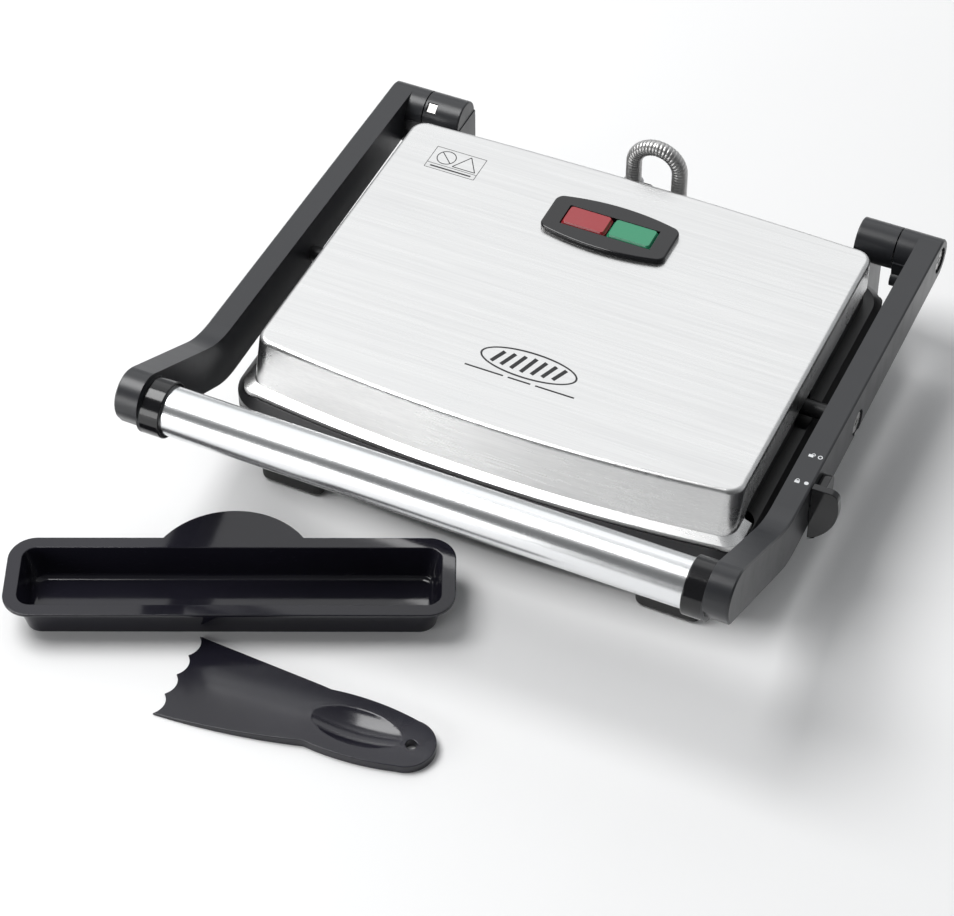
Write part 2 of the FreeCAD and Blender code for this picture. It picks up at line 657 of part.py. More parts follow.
def hinge_bracket(side):
    """Upright with the hinge barrel at its head, screwed to the back of the lower housing."""
    barrel = rod_x(BARREL_R, BARREL_IN, BARREL_OUT, HINGE_Y, HINGE_Z)
    barrel = barrel.makeFillet(1.0, edges_at_x(barrel, BARREL_IN))
    back_y = HINGE_Y + BARREL_R
    wall_y = bracket_wall()
    flange_y = wall_y + FLANGE_T
    outline = [V(LEG_IN, back_y, HINGE_Z), V(LEG_IN, back_y, FOOT_H), V(LEG_IN, flange_y, FOOT_H),
               V(LEG_IN, flange_y, LOWER_Z - 6), V(LEG_IN, HINGE_Y - BARREL_R, HINGE_Z - 8),
               V(LEG_IN, HINGE_Y - BARREL_R, HINGE_Z)]
    leg = Part.Face(Part.makePolygon(outline + outline[:1])).extrude(V(LEG_T, 0, 0))
    flange = box(LEG_IN, LEG_OUT + FLANGE_W, wall_y, flange_y + 0.01, FOOT_H, LOWER_Z - RIM_H)
    upright = [e for e in upright_edges(flange) if e.BoundBox.XMin > LEG_OUT + FLANGE_W / 2]
    flange = flange.makeFillet(1.5, upright)
    whole = join(leg, flange, barrel)
    whole = whole.cut(rod_x(HINGE_PIN_R + RUNNING, BARREL_IN + 3, ARM_OUT, HINGE_Y, HINGE_Z))
    for hole in bracket_screw_places():
        whole = whole.cut(rod(BRACKET_SCREW_R, hole - BACK * 2, hole + BACK * 9))
    if side < 0:
        window = stop_window(0.0)
        return mirrored(whole.cut(window))
    return whole


def stop_window(inset):
    """Opening in the barrel's upper front, through which the lid stop shows."""
    length = 6.5
    drop = 3.6
    end = BARREL_OUT - 1.5
    tilt = 38.0
    block = box(end - length + inset, end - inset, HINGE_Y - 3.2 + inset, HINGE_Y + 3.2 - inset,
                HINGE_Z + BARREL_R - drop, HINGE_Z + BARREL_R + (2 if inset == 0 else -1.2))
    block.rotate(V(end, HINGE_Y, HINGE_Z), ACROSS, tilt)
    return block


def lid_stop():
    return mirrored(stop_window(FIT))


def bracket_screws():
    screws = []
    for place in bracket_screw_places():
        seat = place + BACK * 6.01
        screw = rod(BRACKET_SCREW_R, seat - BACK * 13, seat).fuse(rod(3.6, seat, seat + BACK * 2.2))
        screw = screw.removeSplitter()
        screws += [screw, mirrored(screw)]
    return Part.makeCompound(screws)


# ---------------------------------------------------------------- arm frame
def rounded_outline(corners, radii):
    """Closed wire through the corners, each rounded by a tangent arc unless its radius is 0."""
    edges = []
    count = len(corners)
    places = []
    for index, radius in enumerate(radii):
        corner = corners[index]
        inward = (corners[index - 1] - corner).normalize()
        outward = (corners[(index + 1) % count] - corner).normalize()
        half_angle = inward.getAngle(outward) / 2
        reach = radius / math.tan(half_angle)
        middle = corner + (inward + outward).normalize() * (radius / math.sin(half_angle) - radius)
        places.append((corner + inward * reach, middle, corner + outward * reach, radius))
    for index, (entry, middle, leave, radius) in enumerate(places):
        if radius:
            edges.append(Part.Arc(entry, middle, leave).toShape())
        edges.append(Part.makeLine(leave, places[(index + 1) % count][0]))
    return Part.Wire(edges)


def arm_outline():
    """Side profile of an arm: round at the hinge, straight, then cranked up to the handle."""
    round_end = BARREL_R - 0.3
    rear = HINGE_Y + round_end
    corners = [
        V(0, rear, HINGE_Z - round_end - 0.05),
        V(0, rear, HINGE_Z + round_end + 0.05),
        V(0, FRONT_Y - ARM_KNEE_TOP[0], HINGE_Z + ARM_KNEE_TOP[1]),
        V(0, HANDLE_Y - ARM_NOSE[0], HANDLE_Z + ARM_NOSE[1]),
        V(0, HANDLE_Y - ARM_CHIN[0], HANDLE_Z + ARM_CHIN[1]),
        V(0, FRONT_Y - ARM_KNEE_LOW[0], HINGE_Z + ARM_KNEE_LOW[1]),
    ]
    end_r = round_end - 0.2
    return rounded_outline(corners, [end_r, end_r, ARM_KNEE_TOP_R, ARM_NOSE_R, 0, ARM_KNEE_LOW_R])


def arm(side):
    face = Part.Face(arm_outline())
    face.translate(V(ARM_IN, 0, 0))
    blade = face.extrude(V(ARM_T, 0, 0))
    blade = blade.makeChamfer(ARM_EDGE, edges_at_x(blade, ARM_OUT))
    inner = ARM_IN - ELBOW_L
    elbow = rod_x(ELBOW_R, inner, ARM_IN + 1, HANDLE_Y, HANDLE_Z)
    elbow = elbow.makeFillet(0.8, edges_at_x(elbow, inner))
    spigot = rod_x(TUBE_R - TUBE_WALL - 0.1, inner - SPIGOT_L, inner + 1, HANDLE_Y, HANDLE_Z)
    knuckle_in = BARREL_OUT + BARREL_GAP
    knuckle = rod_x(BARREL_R, knuckle_in, ARM_IN + 1, HINGE_Y, HINGE_Z)
    lug = rod_x(LUG_R, knuckle_in, ARM_IN + 1, HINGE_Y - LUG_AHEAD, HINGE_Z - LUG_DROP)
    lug_web = box(knuckle_in, ARM_IN + 1, HINGE_Y - LUG_AHEAD - 2, HINGE_Y - LUG_AHEAD + 8,
                  HINGE_Z - LUG_DROP - 2, HINGE_Z)
    whole = join(blade, elbow, spigot, knuckle, lug, lug_web)
    for y, z, r in ((HINGE_Y, HINGE_Z, HINGE_PIN_R), (PIVOT_Y, PIVOT_Z, PIVOT_PIN_R)):
        whole = whole.cut(rod_x(r, inner - 2, ARM_OUT + 1, y, z))
        whole = whole.cut(rod_x(RECESS_R, ARM_OUT - RECESS_D, ARM_OUT + 1, y, z))
    whole = whole.cut(rod_x(TIE_R, inner - SPIGOT_L - 1, ARM_OUT - 5, HANDLE_Y, HANDLE_Z))
    if side < 0:
        return mirrored(whole)
    front, rear, low, high = lock_slot()
    return whole.cut(box(ARM_IN - 1, ARM_OUT + 1, front, rear, low, high))


def hinge_pin(side):
    seat = ARM_OUT - RECESS_D
    shank = rod_x(HINGE_PIN_R, BARREL_IN + 4, seat, HINGE_Y, HINGE_Z)
    head = rod_x(SCREW_HEAD_R, seat, seat + 2.2, HINGE_Y, HINGE_Z)
    head = head.makeFillet(0.8, edges_at_x(head, seat + 2.2))
    pin = join(shank, head).cut(cross_slot(seat + 2.2, HINGE_Y, HINGE_Z))
    return pin if side > 0 else mirrored(pin)


def handle_tube():
    half = ARM_IN - ELBOW_L
    tube = rod_x(TUBE_R, -half, half, HANDLE_Y, HANDLE_Z)
    return tube.cut(rod_x(TUBE_R - TUBE_WALL, -half - 1, half + 1, HANDLE_Y, HANDLE_Z))


def tie_rod():
    half = ARM_OUT - 5.5
    return rod_x(TIE_R, -half, half, HANDLE_Y, HANDLE_Z)


# ---------------------------------------------------------------- lock
def lock_slot():
    front = LOCK_Y - LOCK_PLATE_T / 2 - FIT
    rear = front + LOCK_NECK_T + LOCK_TRAVEL + 2 * FIT
    low = lock_mid_z() - LOCK_NECK_H / 2 - FIT
    high = lock_mid_z() + LOCK_NECK_H / 2 + FIT
    return front, rear, low, high


def lock_mid_z():
    return HINGE_Z - 0.5


def lock_slider():
    face = ARM_OUT + FIT
    mid = lock_mid_z()
    front = LOCK_Y - LOCK_PLATE_T / 2
    rear = front + LOCK_BLOCK_L
    block = box(face, face + LOCK_BLOCK_T, front, rear, mid - LOCK_BLOCK_DROP, mid + LOCK_BLOCK_RISE)
    tail = [e for e in block.Edges if abs(e.BoundBox.YMin - rear) < 0.01 and e.BoundBox.XLength > 1]
    block = block.makeFillet(6.0, tail)
    toe = box(face, face + LOCK_TOE_T, front, front + LOCK_PLATE_T + 5, mid - LOCK_TOE, mid)
    toe = toe.makeFillet(1.2, [e for e in edges_at_z(toe, mid - LOCK_TOE) if e.BoundBox.YLength < 1])
    head = mid + LOCK_HEAD
    heel = mid - LOCK_HEEL
    reach = ARM_OUT + LOCK_REACH
    edges = [
        Part.makeLine(V(face, front, heel), V(face, front, head)),
        Part.makeLine(V(face, front, head), V(reach - 5.0, front, head)),
        Part.Arc(V(reach - 5.0, front, head), V(reach - 1.3, front, head - 1.7),
                 V(reach, front, head - 6.0)).toShape(),
        Part.Arc(V(reach, front, head - 6.0), V(reach - 3.6, front, mid - 12.0),
                 V(face + 2.0, front, heel)).toShape(),
        Part.makeLine(V(face + 2.0, front, heel), V(face, front, heel)),
    ]
    paddle = Part.Face(Part.Wire(edges)).extrude(V(0, LOCK_PLATE_T, 0))
    neck = box(ARM_IN - FIT - LOCK_CLIP_T - 0.8, face + 1, front, front + LOCK_NECK_T, mid - LOCK_NECK_H / 2,
               mid + LOCK_NECK_H / 2)
    return join(block, toe, paddle, neck)


def lock_clip():
    """Spring clip behind the arm that holds the slider on."""
    mid = lock_mid_z()
    front = LOCK_Y - LOCK_PLATE_T / 2
    clip = box(ARM_IN - FIT - LOCK_CLIP_T, ARM_IN - FIT, front - 4, front + 12, mid - LOCK_CLIP_HALF,
               mid + LOCK_CLIP_HALF)
    clip = clip.makeFillet(3.0, [e for e in clip.Edges if e.BoundBox.XLength > 1])
    return clip.cut(box(ARM_IN - 3, ARM_IN + 1, front, front + LOCK_NECK_T, mid - LOCK_NECK_H / 2,
                        mid + LOCK_NECK_H / 2))


# ---------------------------------------------------------------- indicator lights
def lens_pocket(z0, z1, gap):
    half = LENS_W + LENS_SPLIT / 2 + gap
    return box(-half, half, BEZEL_Y - LENS_D / 2 - gap, BEZEL_Y + LENS_D / 2 + gap, z0, z1)


def light_bezel():
    plate = slab(BEZEL_W / 2, BEZEL_Y - BEZEL_D_END / 2, BEZEL_Y + BEZEL_D_END / 2, TOP_Z, TOP_Z + BEZEL_H, 6.0,
                 BEZEL_BOW, BEZEL_BOW)
    plate = plate.makeFillet(1.3, edges_at_z(plate, TOP_Z + BEZEL_H))
    return plate.cut(lens_pocket(TOP_Z - 1, TOP_Z + 10, 0.15))


def lens(side):
    x0 = LENS_SPLIT / 2 if side > 0 else -LENS_SPLIT / 2 - LENS_W
    block = box(x0, x0 + LENS_W, BEZEL_Y - LENS_D / 2, BEZEL_Y + LENS_D / 2, TOP_Z, TOP_Z + LENS_H)
    return block.makeFillet(0.8, edges_at_z(block, TOP_Z + LENS_H))


def lamp_holder():
    seat_z = BODY_TOP - ROOF_T - 0.1
    reach = LENS_W + HOLDER_SIDE
    plate = box(-reach, reach, BEZEL_Y - HOLDER_HALF_D, BEZEL_Y + HOLDER_HALF_D, seat_z - HOLDER_T, seat_z)
    for x in (-LENS_W / 2, LENS_W / 2):
        cup = rod_z(CUP_R, seat_z, BODY_TOP + 0.5, x, BEZEL_Y)
        plate = join(plate, cup).cut(rod_z(LAMP_R, seat_z - HOLDER_T - 1, TOP_Z, x, BEZEL_Y))
    return plate


def lamps():
    foot_z = BODY_TOP - ROOF_T - 0.1 - HOLDER_T
    bulbs = []
    for x in (-LENS_W / 2, LENS_W / 2):
        body = rod_z(LAMP_R, foot_z, TOP_Z - 0.6, x, BEZEL_Y)
        bulbs.append(body.makeFillet(1.5, edges_at_z(body, TOP_Z - 0.6)))
    return Part.makeCompound(bulbs)


# ---------------------------------------------------------------- power link and electrics
def link_conduit():
    left = LINK_X - LINK_BEND
    right = LINK_X + LINK_BEND
    y = link_y()
    crown = TOP_Z + LINK_CROWN_RISE - LINK_R
    foot_low = link_foot(1)
    foot_high = link_foot(-1)
    points = [V(right, y, foot_low), V(right, y, crown), V(left, y, crown), V(left, y, foot_high)]
    return tube_along(bent_path(points, [LINK_BEND - 0.01, LINK_BEND - 0.01]), LINK_R)


def link_foot(side):
    """Height where the sheath enters its gland: right leg on the base, left leg on the lid."""
    if side > 0:
        return BAY_TOP + BASE_SHELF_H + GLAND_H - 3
    return UPPER_Z + RIM_H + LID_SHELF_H + GLAND_H - 3


def conduit_gland(side):
    x = LINK_X + side * LINK_BEND
    foot_z = BAY_TOP + BASE_SHELF_H if side > 0 else UPPER_Z + RIM_H + LID_SHELF_H
    y = link_y()
    nut = Part.makePolygon([V(x + GLAND_R * math.cos(math.radians(a)), y + GLAND_R * math.sin(math.radians(a)),
                              foot_z) for a in range(0, 361, 60)])
    body = Part.Face(nut).extrude(V(0, 0, GLAND_H * 0.55))
    neck = rod_z(GLAND_R - 1.6, foot_z + GLAND_H * 0.55, foot_z + GLAND_H, x, y)
    stem = rod_z(LINK_R, foot_z - 7, foot_z, x, y)
    whole = join(body, neck, stem)
    return whole.cut(rod_z(LINK_R + RUNNING, link_foot(side) - FIT, TOP_Z, x, y))


def cord_gland():
    seat = V(INLET_X, back_wall(INLET_X + GLAND_R), INLET_Z)
    flange = rod(CORD_R + 3.4, seat, seat + BACK * 3)
    stem = rod(CORD_R + GLAND_WALL, seat - BACK * 5, seat)
    nose = Part.makeCone(CORD_R + 2.4, CORD_R + 1.2, 9, seat + BACK * 3, BACK)
    whole = join(flange, stem, nose)
    return whole.cut(rod(CORD_R, seat - BACK * 6, seat + BACK * 13))


def terminal_block():
    floor = FOOT_H + BOTTOM_T
    left = -HALF + 30
    rear = BAY_FRONT - 42
    return box(left, left + TERMINAL_L, rear - TERMINAL_D, rear, floor, floor + TERMINAL_H)


def thermostat():
    """Bimetal switch that sits on the upper plate's back, under the reflector."""
    z = plate_back(1)
    can = rod_z(THERMOSTAT_R, z, z + THERMOSTAT_H, 0, 0)
    ears = box(-THERMOSTAT_EAR, THERMOSTAT_EAR, -THERMOSTAT_R / 2, THERMOSTAT_R / 2, z, z + 1.2)
    return join(can, ears)


def thermal_fuses():
    low = plate_back(-1)
    high = plate_back(1)
    half = FUSE_L / 2
    return [rod_x(FUSE_R, -half, half, FUSE_Y, low - FUSE_R), rod_x(FUSE_R, -half, half, FUSE_Y, high + FUSE_R)]


# ---------------------------------------------------------------- loose pieces
def drip_tray():
    """Shallow tray with a flat rim and a half-moon pull tab, in its own frame."""
    lip = TRAY_LIP
    wall = TRAY_WALL

    def shell_form(inset, z0, z1):
        top_l = TRAY_L - 2 * lip - 2 * inset
        top_d = TRAY_D - 2 * lip - 2 * inset
        head = ring_bar(top_l, top_d, z1, TRAY_CORNER - lip - inset)
        base = ring_bar(top_l - 2 * TRAY_DRAFT, top_d - TRAY_DRAFT, z0, TRAY_CORNER - lip - inset)
        return loft(base, head)

    rim = bar(TRAY_L, TRAY_D, TRAY_H - wall, TRAY_H, TRAY_CORNER)
    radius = (TRAY_TAB_W ** 2 / 4 + TRAY_TAB_D ** 2) / (2 * TRAY_TAB_D)
    centre = TRAY_D / 2 + TRAY_TAB_D - radius
    tab = rod_z(radius, TRAY_H - wall, TRAY_H, 0, centre)
    tab = tab.common(box(-TRAY_L, TRAY_L, TRAY_D / 2 - 4, TRAY_L, 0, TRAY_H + 1))
    whole = join(shell_form(0, 0, TRAY_H), rim, tab)
    return whole.cut(shell_form(wall, wall, TRAY_H + 0.01))


def ring_bar(length, depth, z, corner):
    block = bar(length, depth, z - 1, z, corner)
    tops = [f for f in block.Faces if abs(f.BoundBox.ZMin - z) < 0.01]
    return tops[0].OuterWire


def scraper():
    """Blade with a scalloped edge that runs into a grip with a thumb dish, in its own frame."""
    edge = SCRAPER_BLADE_W / 2
    neck = SCRAPER_NECK_W / 2
    grip = SCRAPER_GRIP_W / 2
    tail = SCRAPER_L - SCRAPER_TAIL
    tip = [V(0, edge - i * SCRAPER_BLADE_W / SCRAPER_TEETH, 0) for i in range(SCRAPER_TEETH + 1)]
    edges = []
    for a, b in zip(tip, tip[1:]):
        mid = (a + b) * 0.5 + V(SCALLOP_DEPTH, 0, 0)
        edges.append(Part.Arc(a, mid, b).toShape())
    lower = [V(0, -edge, 0), V(SCRAPER_BLADE_L * 0.47, -(edge * 0.55 + neck * 0.45) - 2.2, 0),
             V(SCRAPER_BLADE_L, -neck, 0)]
    edges.append(Part.Arc(*lower).toShape())
    grip_low = V(tail, -neck * 0.86, 0)
    grip_top = V(tail, neck * 0.86, 0)
    edges.append(Part.Arc(lower[2], V(SCRAPER_BLADE_L * 1.32, -grip, 0), grip_low).toShape())
    edges.append(Part.Arc(grip_low, V(SCRAPER_L, 0, 0), grip_top).toShape())
    edges.append(Part.Arc(grip_top, V(SCRAPER_BLADE_L * 1.32, grip, 0), V(SCRAPER_BLADE_L, neck, 0)).toShape())
    edges.append(Part.makeLine(V(SCRAPER_BLADE_L, neck, 0), V(0, edge, 0)))
    body = Part.Face(Part.Wire(edges)).extrude(V(0, 0, SCRAPER_T))
    wedge = [V(-1, -edge - 1, SCRAPER_EDGE_T), V(SCRAPER_BLADE_L * 0.92, -edge - 1, SCRAPER_T),
             V(SCRAPER_BLADE_L * 0.92, -edge - 1, SCRAPER_T + 1), V(-1, -edge - 1, SCRAPER_T + 1)]
    ramp = Part.Face(Part.makePolygon(wedge + wedge[:1])).extrude(V(0, SCRAPER_BLADE_W + 2, 0))
    body = body.cut(ramp)
    body = body.cut(thumb_dish(SCRAPER_L - DISH_INSET))
    return body.cut(rod_z(SCRAPER_HOLE_R, -1, SCRAPER_T + 1, SCRAPER_L - SCRAPER_HOLE_INSET, 0))


def thumb_dish(x):
    """Pointed oval hollow of the dish's length, width and depth, swept by an arc round X."""
    belly = (DISH_W ** 2 / 4 + DISH_DEPTH ** 2) / (2 * DISH_DEPTH)
    arc_r = (DISH_L ** 2 / 4 + DISH_DEPTH ** 2) / (2 * DISH_DEPTH)
    reach = math.sqrt(arc_r ** 2 - (arc_r - belly) ** 2)
    axis_z = SCRAPER_T + belly - DISH_DEPTH
    arc = Part.Arc(V(x - reach, 0, axis_z), V(x, 0, axis_z - belly), V(x + reach, 0, axis_z))
    chord = Part.makeLine(V(x + reach, 0, axis_z), V(x - reach, 0, axis_z))
    return Part.Face(Part.Wire([arc.toShape(), chord])).revolve(V(x, 0, axis_z), ACROSS, 360)


# ---------------------------------------------------------------- write every sub-part
os.makedirs("parts", exist_ok=True)

save("lower_housing", lower_housing())
save("bottom_cover", bottom_cover())
save("bottom_cover_screws", bottom_screws())
save("rubber_feet", rubber_feet())
save("lower_grill_plate", lower_grill_plate())
save("lower_heater", heater(plate_back(-1), -1))
save("lower_reflector", reflector(plate_back(-1), -1))
save("lower_plate_screws", plate_screws(plate_back(-1), -1))
save("left_hinge_bracket", hinge_bracket(-1))
save("right_hinge_bracket", hinge_bracket(1))
save("hinge_bracket_screws", bracket_screws())
save("lid_stop", lid_stop())
save("cord_gland", cord_gland())
save("terminal_block", terminal_block())
save("base_link_gland", conduit_gland(1))
save("lower_thermal_fuse", thermal_fuses()[0])

save("left_arm", arm(-1))
save("right_arm", arm(1))
save("left_hinge_pin", hinge_pin(-1))
save("right_hinge_pin", hinge_pin(1))
save("left_pivot_screw", pivot_pieces(-1)[3])
save("right_pivot_screw", pivot_pieces(1)[3])
save("handle_tube", handle_tube())
save("handle_tie_rod", tie_rod())
save("link_conduit", link_conduit())

save("steel_cover", steel_cover())
save("upper_housing", upper_housing())
save("upper_grill_plate", grill_plate(plate_face(1), 1))
save("upper_heater", heater(plate_back(1), 1))
save("upper_reflector", reflector(plate_back(1), 1))
save("upper_plate_screws", plate_screws(plate_back(1), 1))
save("left_pivot_bush", pivot_pieces(-1)[2])
save("right_pivot_bush", pivot_pieces(1)[2])
save("light_bezel", light_bezel())
save("red_lens", lens(-1))
save("green_lens", lens(1))
save("lamp_holder", lamp_holder())
save("indicator_lamps", lamps())
save("thermostat", thermostat())
save("upper_thermal_fuse", thermal_fuses()[1])
save("lid_link_gland", conduit_gland(-1))

save("lock_slider", lock_slider())
save("lock_clip", lock_clip())

save("drip_tray", placed(drip_tray(), TRAY_AT, TRAY_TURN))
save("scraper", placed(scraper(), SCRAPER_AT, SCRAPER_TURN))
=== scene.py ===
import json
import math

import bmesh
import bpy
from mathutils import Matrix, Vector
from mathutils.bvhtree import BVHTree


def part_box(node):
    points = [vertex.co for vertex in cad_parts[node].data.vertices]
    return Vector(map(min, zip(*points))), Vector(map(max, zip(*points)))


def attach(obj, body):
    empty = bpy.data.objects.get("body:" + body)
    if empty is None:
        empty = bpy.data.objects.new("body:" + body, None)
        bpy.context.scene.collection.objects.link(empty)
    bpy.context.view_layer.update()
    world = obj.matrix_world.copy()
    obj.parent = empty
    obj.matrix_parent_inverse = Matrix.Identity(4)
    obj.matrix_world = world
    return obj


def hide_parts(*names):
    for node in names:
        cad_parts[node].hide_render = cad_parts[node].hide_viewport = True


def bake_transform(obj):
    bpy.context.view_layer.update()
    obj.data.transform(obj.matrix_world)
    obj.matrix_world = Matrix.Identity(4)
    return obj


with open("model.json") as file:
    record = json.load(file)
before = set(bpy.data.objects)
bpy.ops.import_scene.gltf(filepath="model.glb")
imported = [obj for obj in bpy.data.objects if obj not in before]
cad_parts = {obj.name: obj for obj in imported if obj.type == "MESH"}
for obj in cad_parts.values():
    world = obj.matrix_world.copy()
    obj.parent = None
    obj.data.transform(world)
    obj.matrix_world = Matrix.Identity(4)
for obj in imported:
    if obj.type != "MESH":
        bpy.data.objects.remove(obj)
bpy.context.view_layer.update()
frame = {"nodes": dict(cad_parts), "record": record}

NODES = frame["nodes"]
MM = 0.001

# ---------------------------------------------------------------- finishes, as linear colours
STEEL = (0.73, 0.73, 0.725)
STEEL_LINES = (0.62, 0.62, 0.62)
ALUMINIUM = (0.86, 0.87, 0.88)
PLAIN_METAL = (0.30, 0.30, 0.31)
SCREW_METAL = (0.62, 0.61, 0.60)
BRASS = (0.60, 0.42, 0.17)
SHEATH = (0.56, 0.555, 0.55)
HEAT_TINT = (0.30, 0.25, 0.20)
HOUSING = (0.010, 0.010, 0.011)
CHARCOAL = (0.020, 0.021, 0.024)
GLOSS_BLACK = (0.006, 0.006, 0.007)
COATING = (0.016, 0.016, 0.017)
RUBBER = (0.012, 0.012, 0.012)
TRAY = (0.008, 0.0076, 0.012)
RED = (0.34, 0.006, 0.014)
GREEN = (0.005, 0.26, 0.12)
INK = (0.006, 0.006, 0.007)
WHITE_INK = (0.62, 0.63, 0.64)
INSULATOR = (0.62, 0.60, 0.55)
LAMP_GLASS = (0.9, 0.5, 0.3)
FLOOR = (0.86, 0.86, 0.86)
FLOOR_PALE = (0.87, 0.87, 0.87)
FLOOR_DEEP = (0.85, 0.85, 0.85)
SKY = (0.96, 0.98, 1.0, 1.0)

# ---------------------------------------------------------------- sizes that no CAD node gives
ARM_W = 15.4 * MM            # an arm, outside its round end piece
END_PIECE_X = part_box("right_arm")[1].x - ARM_W
END_PIECE_Y = -150.0 * MM    # the end pieces lie ahead of this
SMALL_EDGE = 0.4 * MM        # rounding of the lock slider and the scraper

TRAY_WALL = 2.0 * MM
TRAY_FILLET = 3.2 * MM
TRAY_EDGE = 0.5 * MM
TRAY_FLOOR_SLACK = 0.5 * MM  # edges up to this far over the floor get the fillet
TRAY_CORNER = 0.5            # a corner at the floor turns by more than this, in radians

LENS_CORNER = 3.0 * MM
LENS_BORDER = 1.3 * MM
LENS_STEP = 0.9 * MM
LENS_EDGE = 0.35 * MM
LENS_UPRIGHT = 1.0 * MM      # an edge that climbs by more than this is a corner of the lens
FACES_UP = 0.9               # least upward part of a top face's normal
FACES_ASIDE = 0.5            # most upward part of a side face's normal

LINK_SUNK = 3.0 * MM         # length of a sheath inside its gland
WIND_PITCH = 2.1 * MM
WIND_STRIP = 0.42 * MM       # half the strip's thickness
WIND_LAP = 0.56              # half the strip's width, as a share of the pitch
STEPS_PER_TURN = 24
STRIP_SIDES = 8
CORE_INSET = 1.6 * WIND_STRIP
CORE_SIDES = 20
CORE_RINGS = 36

COVER_INK_T = 0.05 * MM
BADGE_X = 3.0 * MM
BADGE_Y = -64.0 * MM
BADGE_R = 30.0 * MM
BADGE_OVAL = 0.36            # depth of the oval, as a share of its width
BADGE_LINE = 1.2 * MM
BADGE_BARS = range(-3, 4)
BADGE_BAR_PITCH = 6.4 * MM
BADGE_BAR_W = 2.6 * MM
BADGE_BAR_SLANT = 4.4 * MM
BADGE_BAR_HALF = 6.6 * MM    # half length of the middle bar
BADGE_BAR_LESS = 0.55 * MM   # each bar further out is shorter by this at both ends
DASH_DROP = 13.5 * MM
DASHES = ((-34.0 * MM, -10.0 * MM), (10.0 * MM, 34.0 * MM), (-7.0 * MM, 7.0 * MM))
DASH_LINE = 1.1 * MM

LABEL_LEFT = -126.5 * MM
LABEL_NEAR = 69.0 * MM
LABEL_W = 33.0 * MM
LABEL_D = 20.0 * MM
LABEL_BAND = 4.6 * MM
LABEL_LINE = 0.35 * MM
BAND_INSET = 3.0 * MM
SYMBOL_LINE = 0.6 * MM
SYMBOL_INSET = 9.5 * MM      # a symbol's middle, in from the label's side
BARRED_RING_R = 6.2 * MM
BARRED_RING_UP = 12.2 * MM
BARRED_RING_BAR = 4.1 * MM   # half of the slanted bar, along X and along Y
TRIANGLE_TOP = 18.4 * MM
TRIANGLE_FOOT = 6.2 * MM
TRIANGLE_HALF = 7.5 * MM

ARM_INK_T = 0.06 * MM
OPEN_MARK_Y = -60.5 * MM
LOCK_MARK_Y = -82.5 * MM
MARK_X = 178.6 * MM
RING_R = 1.4 * MM
RING_LINE = 0.5 * MM
DOT_R = 1.3 * MM
DOT_EYE = 0.01 * MM          # the pinhole left by drawing the dot as a wide ring
PADLOCK_X = 173.4 * MM
PADLOCK_BACK = 0.7 * MM
PADLOCK_HALF_W = 1.4 * MM
PADLOCK_HALF_D = 1.0 * MM
SHACKLE_R = 1.1 * MM
SHACKLE_LINE = 0.4 * MM
SHACKLE_UP = 1.2 * MM
SHACKLE_ASIDE = 1.2 * MM     # the open sign's shackle is moved over by this


# ---------------------------------------------------------------- node helpers
def new_group(name, inputs, outputs):
    """An empty shader node group with float or vector inputs and outputs."""
    group = bpy.data.node_groups.new(name, "ShaderNodeTree")
    for label, kind, value in inputs:
        socket = group.interface.new_socket(label, in_out="INPUT", socket_type=kind)
        if value is not None:
            socket.default_value = value
    for label, kind in outputs:
        group.interface.new_socket(label, in_out="OUTPUT", socket_type=kind)
    return group, group.nodes.new("NodeGroupInput"), group.nodes.new("NodeGroupOutput")


def math_node(tree, operation, *values):
    """A Math node; a value is a number or the socket that feeds it."""
    node = tree.nodes.new("ShaderNodeMath")
    node.operation = operation
    for socket, value in zip(node.inputs, values):
        if isinstance(value, (int, float)):
            socket.default_value = value
        else:
            tree.links.new(value, socket)
    return node.outputs[0]


def noise(tree, vector, scale, detail=2.0, roughness=0.5):
    """A Noise texture; the scale is a number or the socket that feeds it."""
    node = tree.nodes.new("ShaderNodeTexNoise")
    node.inputs["Detail"].default_value = detail
    node.inputs["Roughness"].default_value = roughness
    if isinstance(scale, (int, float)):
        node.inputs["Scale"].default_value = scale
    else:
        tree.links.new(scale, node.inputs["Scale"])
    tree.links.new(vector, node.inputs["Vector"])
    return node.outputs["Fac"]


def spread(tree, value, low, high, to_low=0.0, to_high=1.0):
    """Maps a value from one range to another and clamps it."""
    node = tree.nodes.new("ShaderNodeMapRange")
    for socket, number in zip(list(node.inputs)[1:5], (low, high, to_low, to_high)):
        if isinstance(number, (int, float)):
            socket.default_value = number
        else:
            tree.links.new(number, socket)
    tree.links.new(value, node.inputs["Value"])
    return node.outputs["Result"]


def brushed_group():
    """Long fine lines along X, with a few deeper ones."""
    group, inside, out = new_group(
        "brush lines",
        [("Vector", "NodeSocketVector", None), ("Across", "NodeSocketFloat", 2600.0),
         ("Along", "NodeSocketFloat", 26.0)],
        [("Lines", "NodeSocketFloat"), ("Height", "NodeSocketFloat")])
    stretch = group.nodes.new("ShaderNodeCombineXYZ")
    group.links.new(inside.outputs["Along"], stretch.inputs["X"])
    group.links.new(inside.outputs["Across"], stretch.inputs["Y"])
    group.links.new(inside.outputs["Across"], stretch.inputs["Z"])
    product = group.nodes.new("ShaderNodeVectorMath")
    product.operation = "MULTIPLY"
    group.links.new(inside.outputs["Vector"], product.inputs[0])
    group.links.new(stretch.outputs[0], product.inputs[1])
    fine = noise(group, product.outputs[0], scale=1.0, detail=2.0, roughness=0.6)
    broad = noise(group, product.outputs[0], scale=0.13, detail=3.0, roughness=0.6)
    lines = math_node(group, "MULTIPLY_ADD", broad, 0.45, math_node(group, "MULTIPLY", fine, 0.55))
    group.links.new(spread(group, lines, low=0.3, high=0.7), out.inputs["Lines"])
    group.links.new(fine, out.inputs["Height"])
    return group


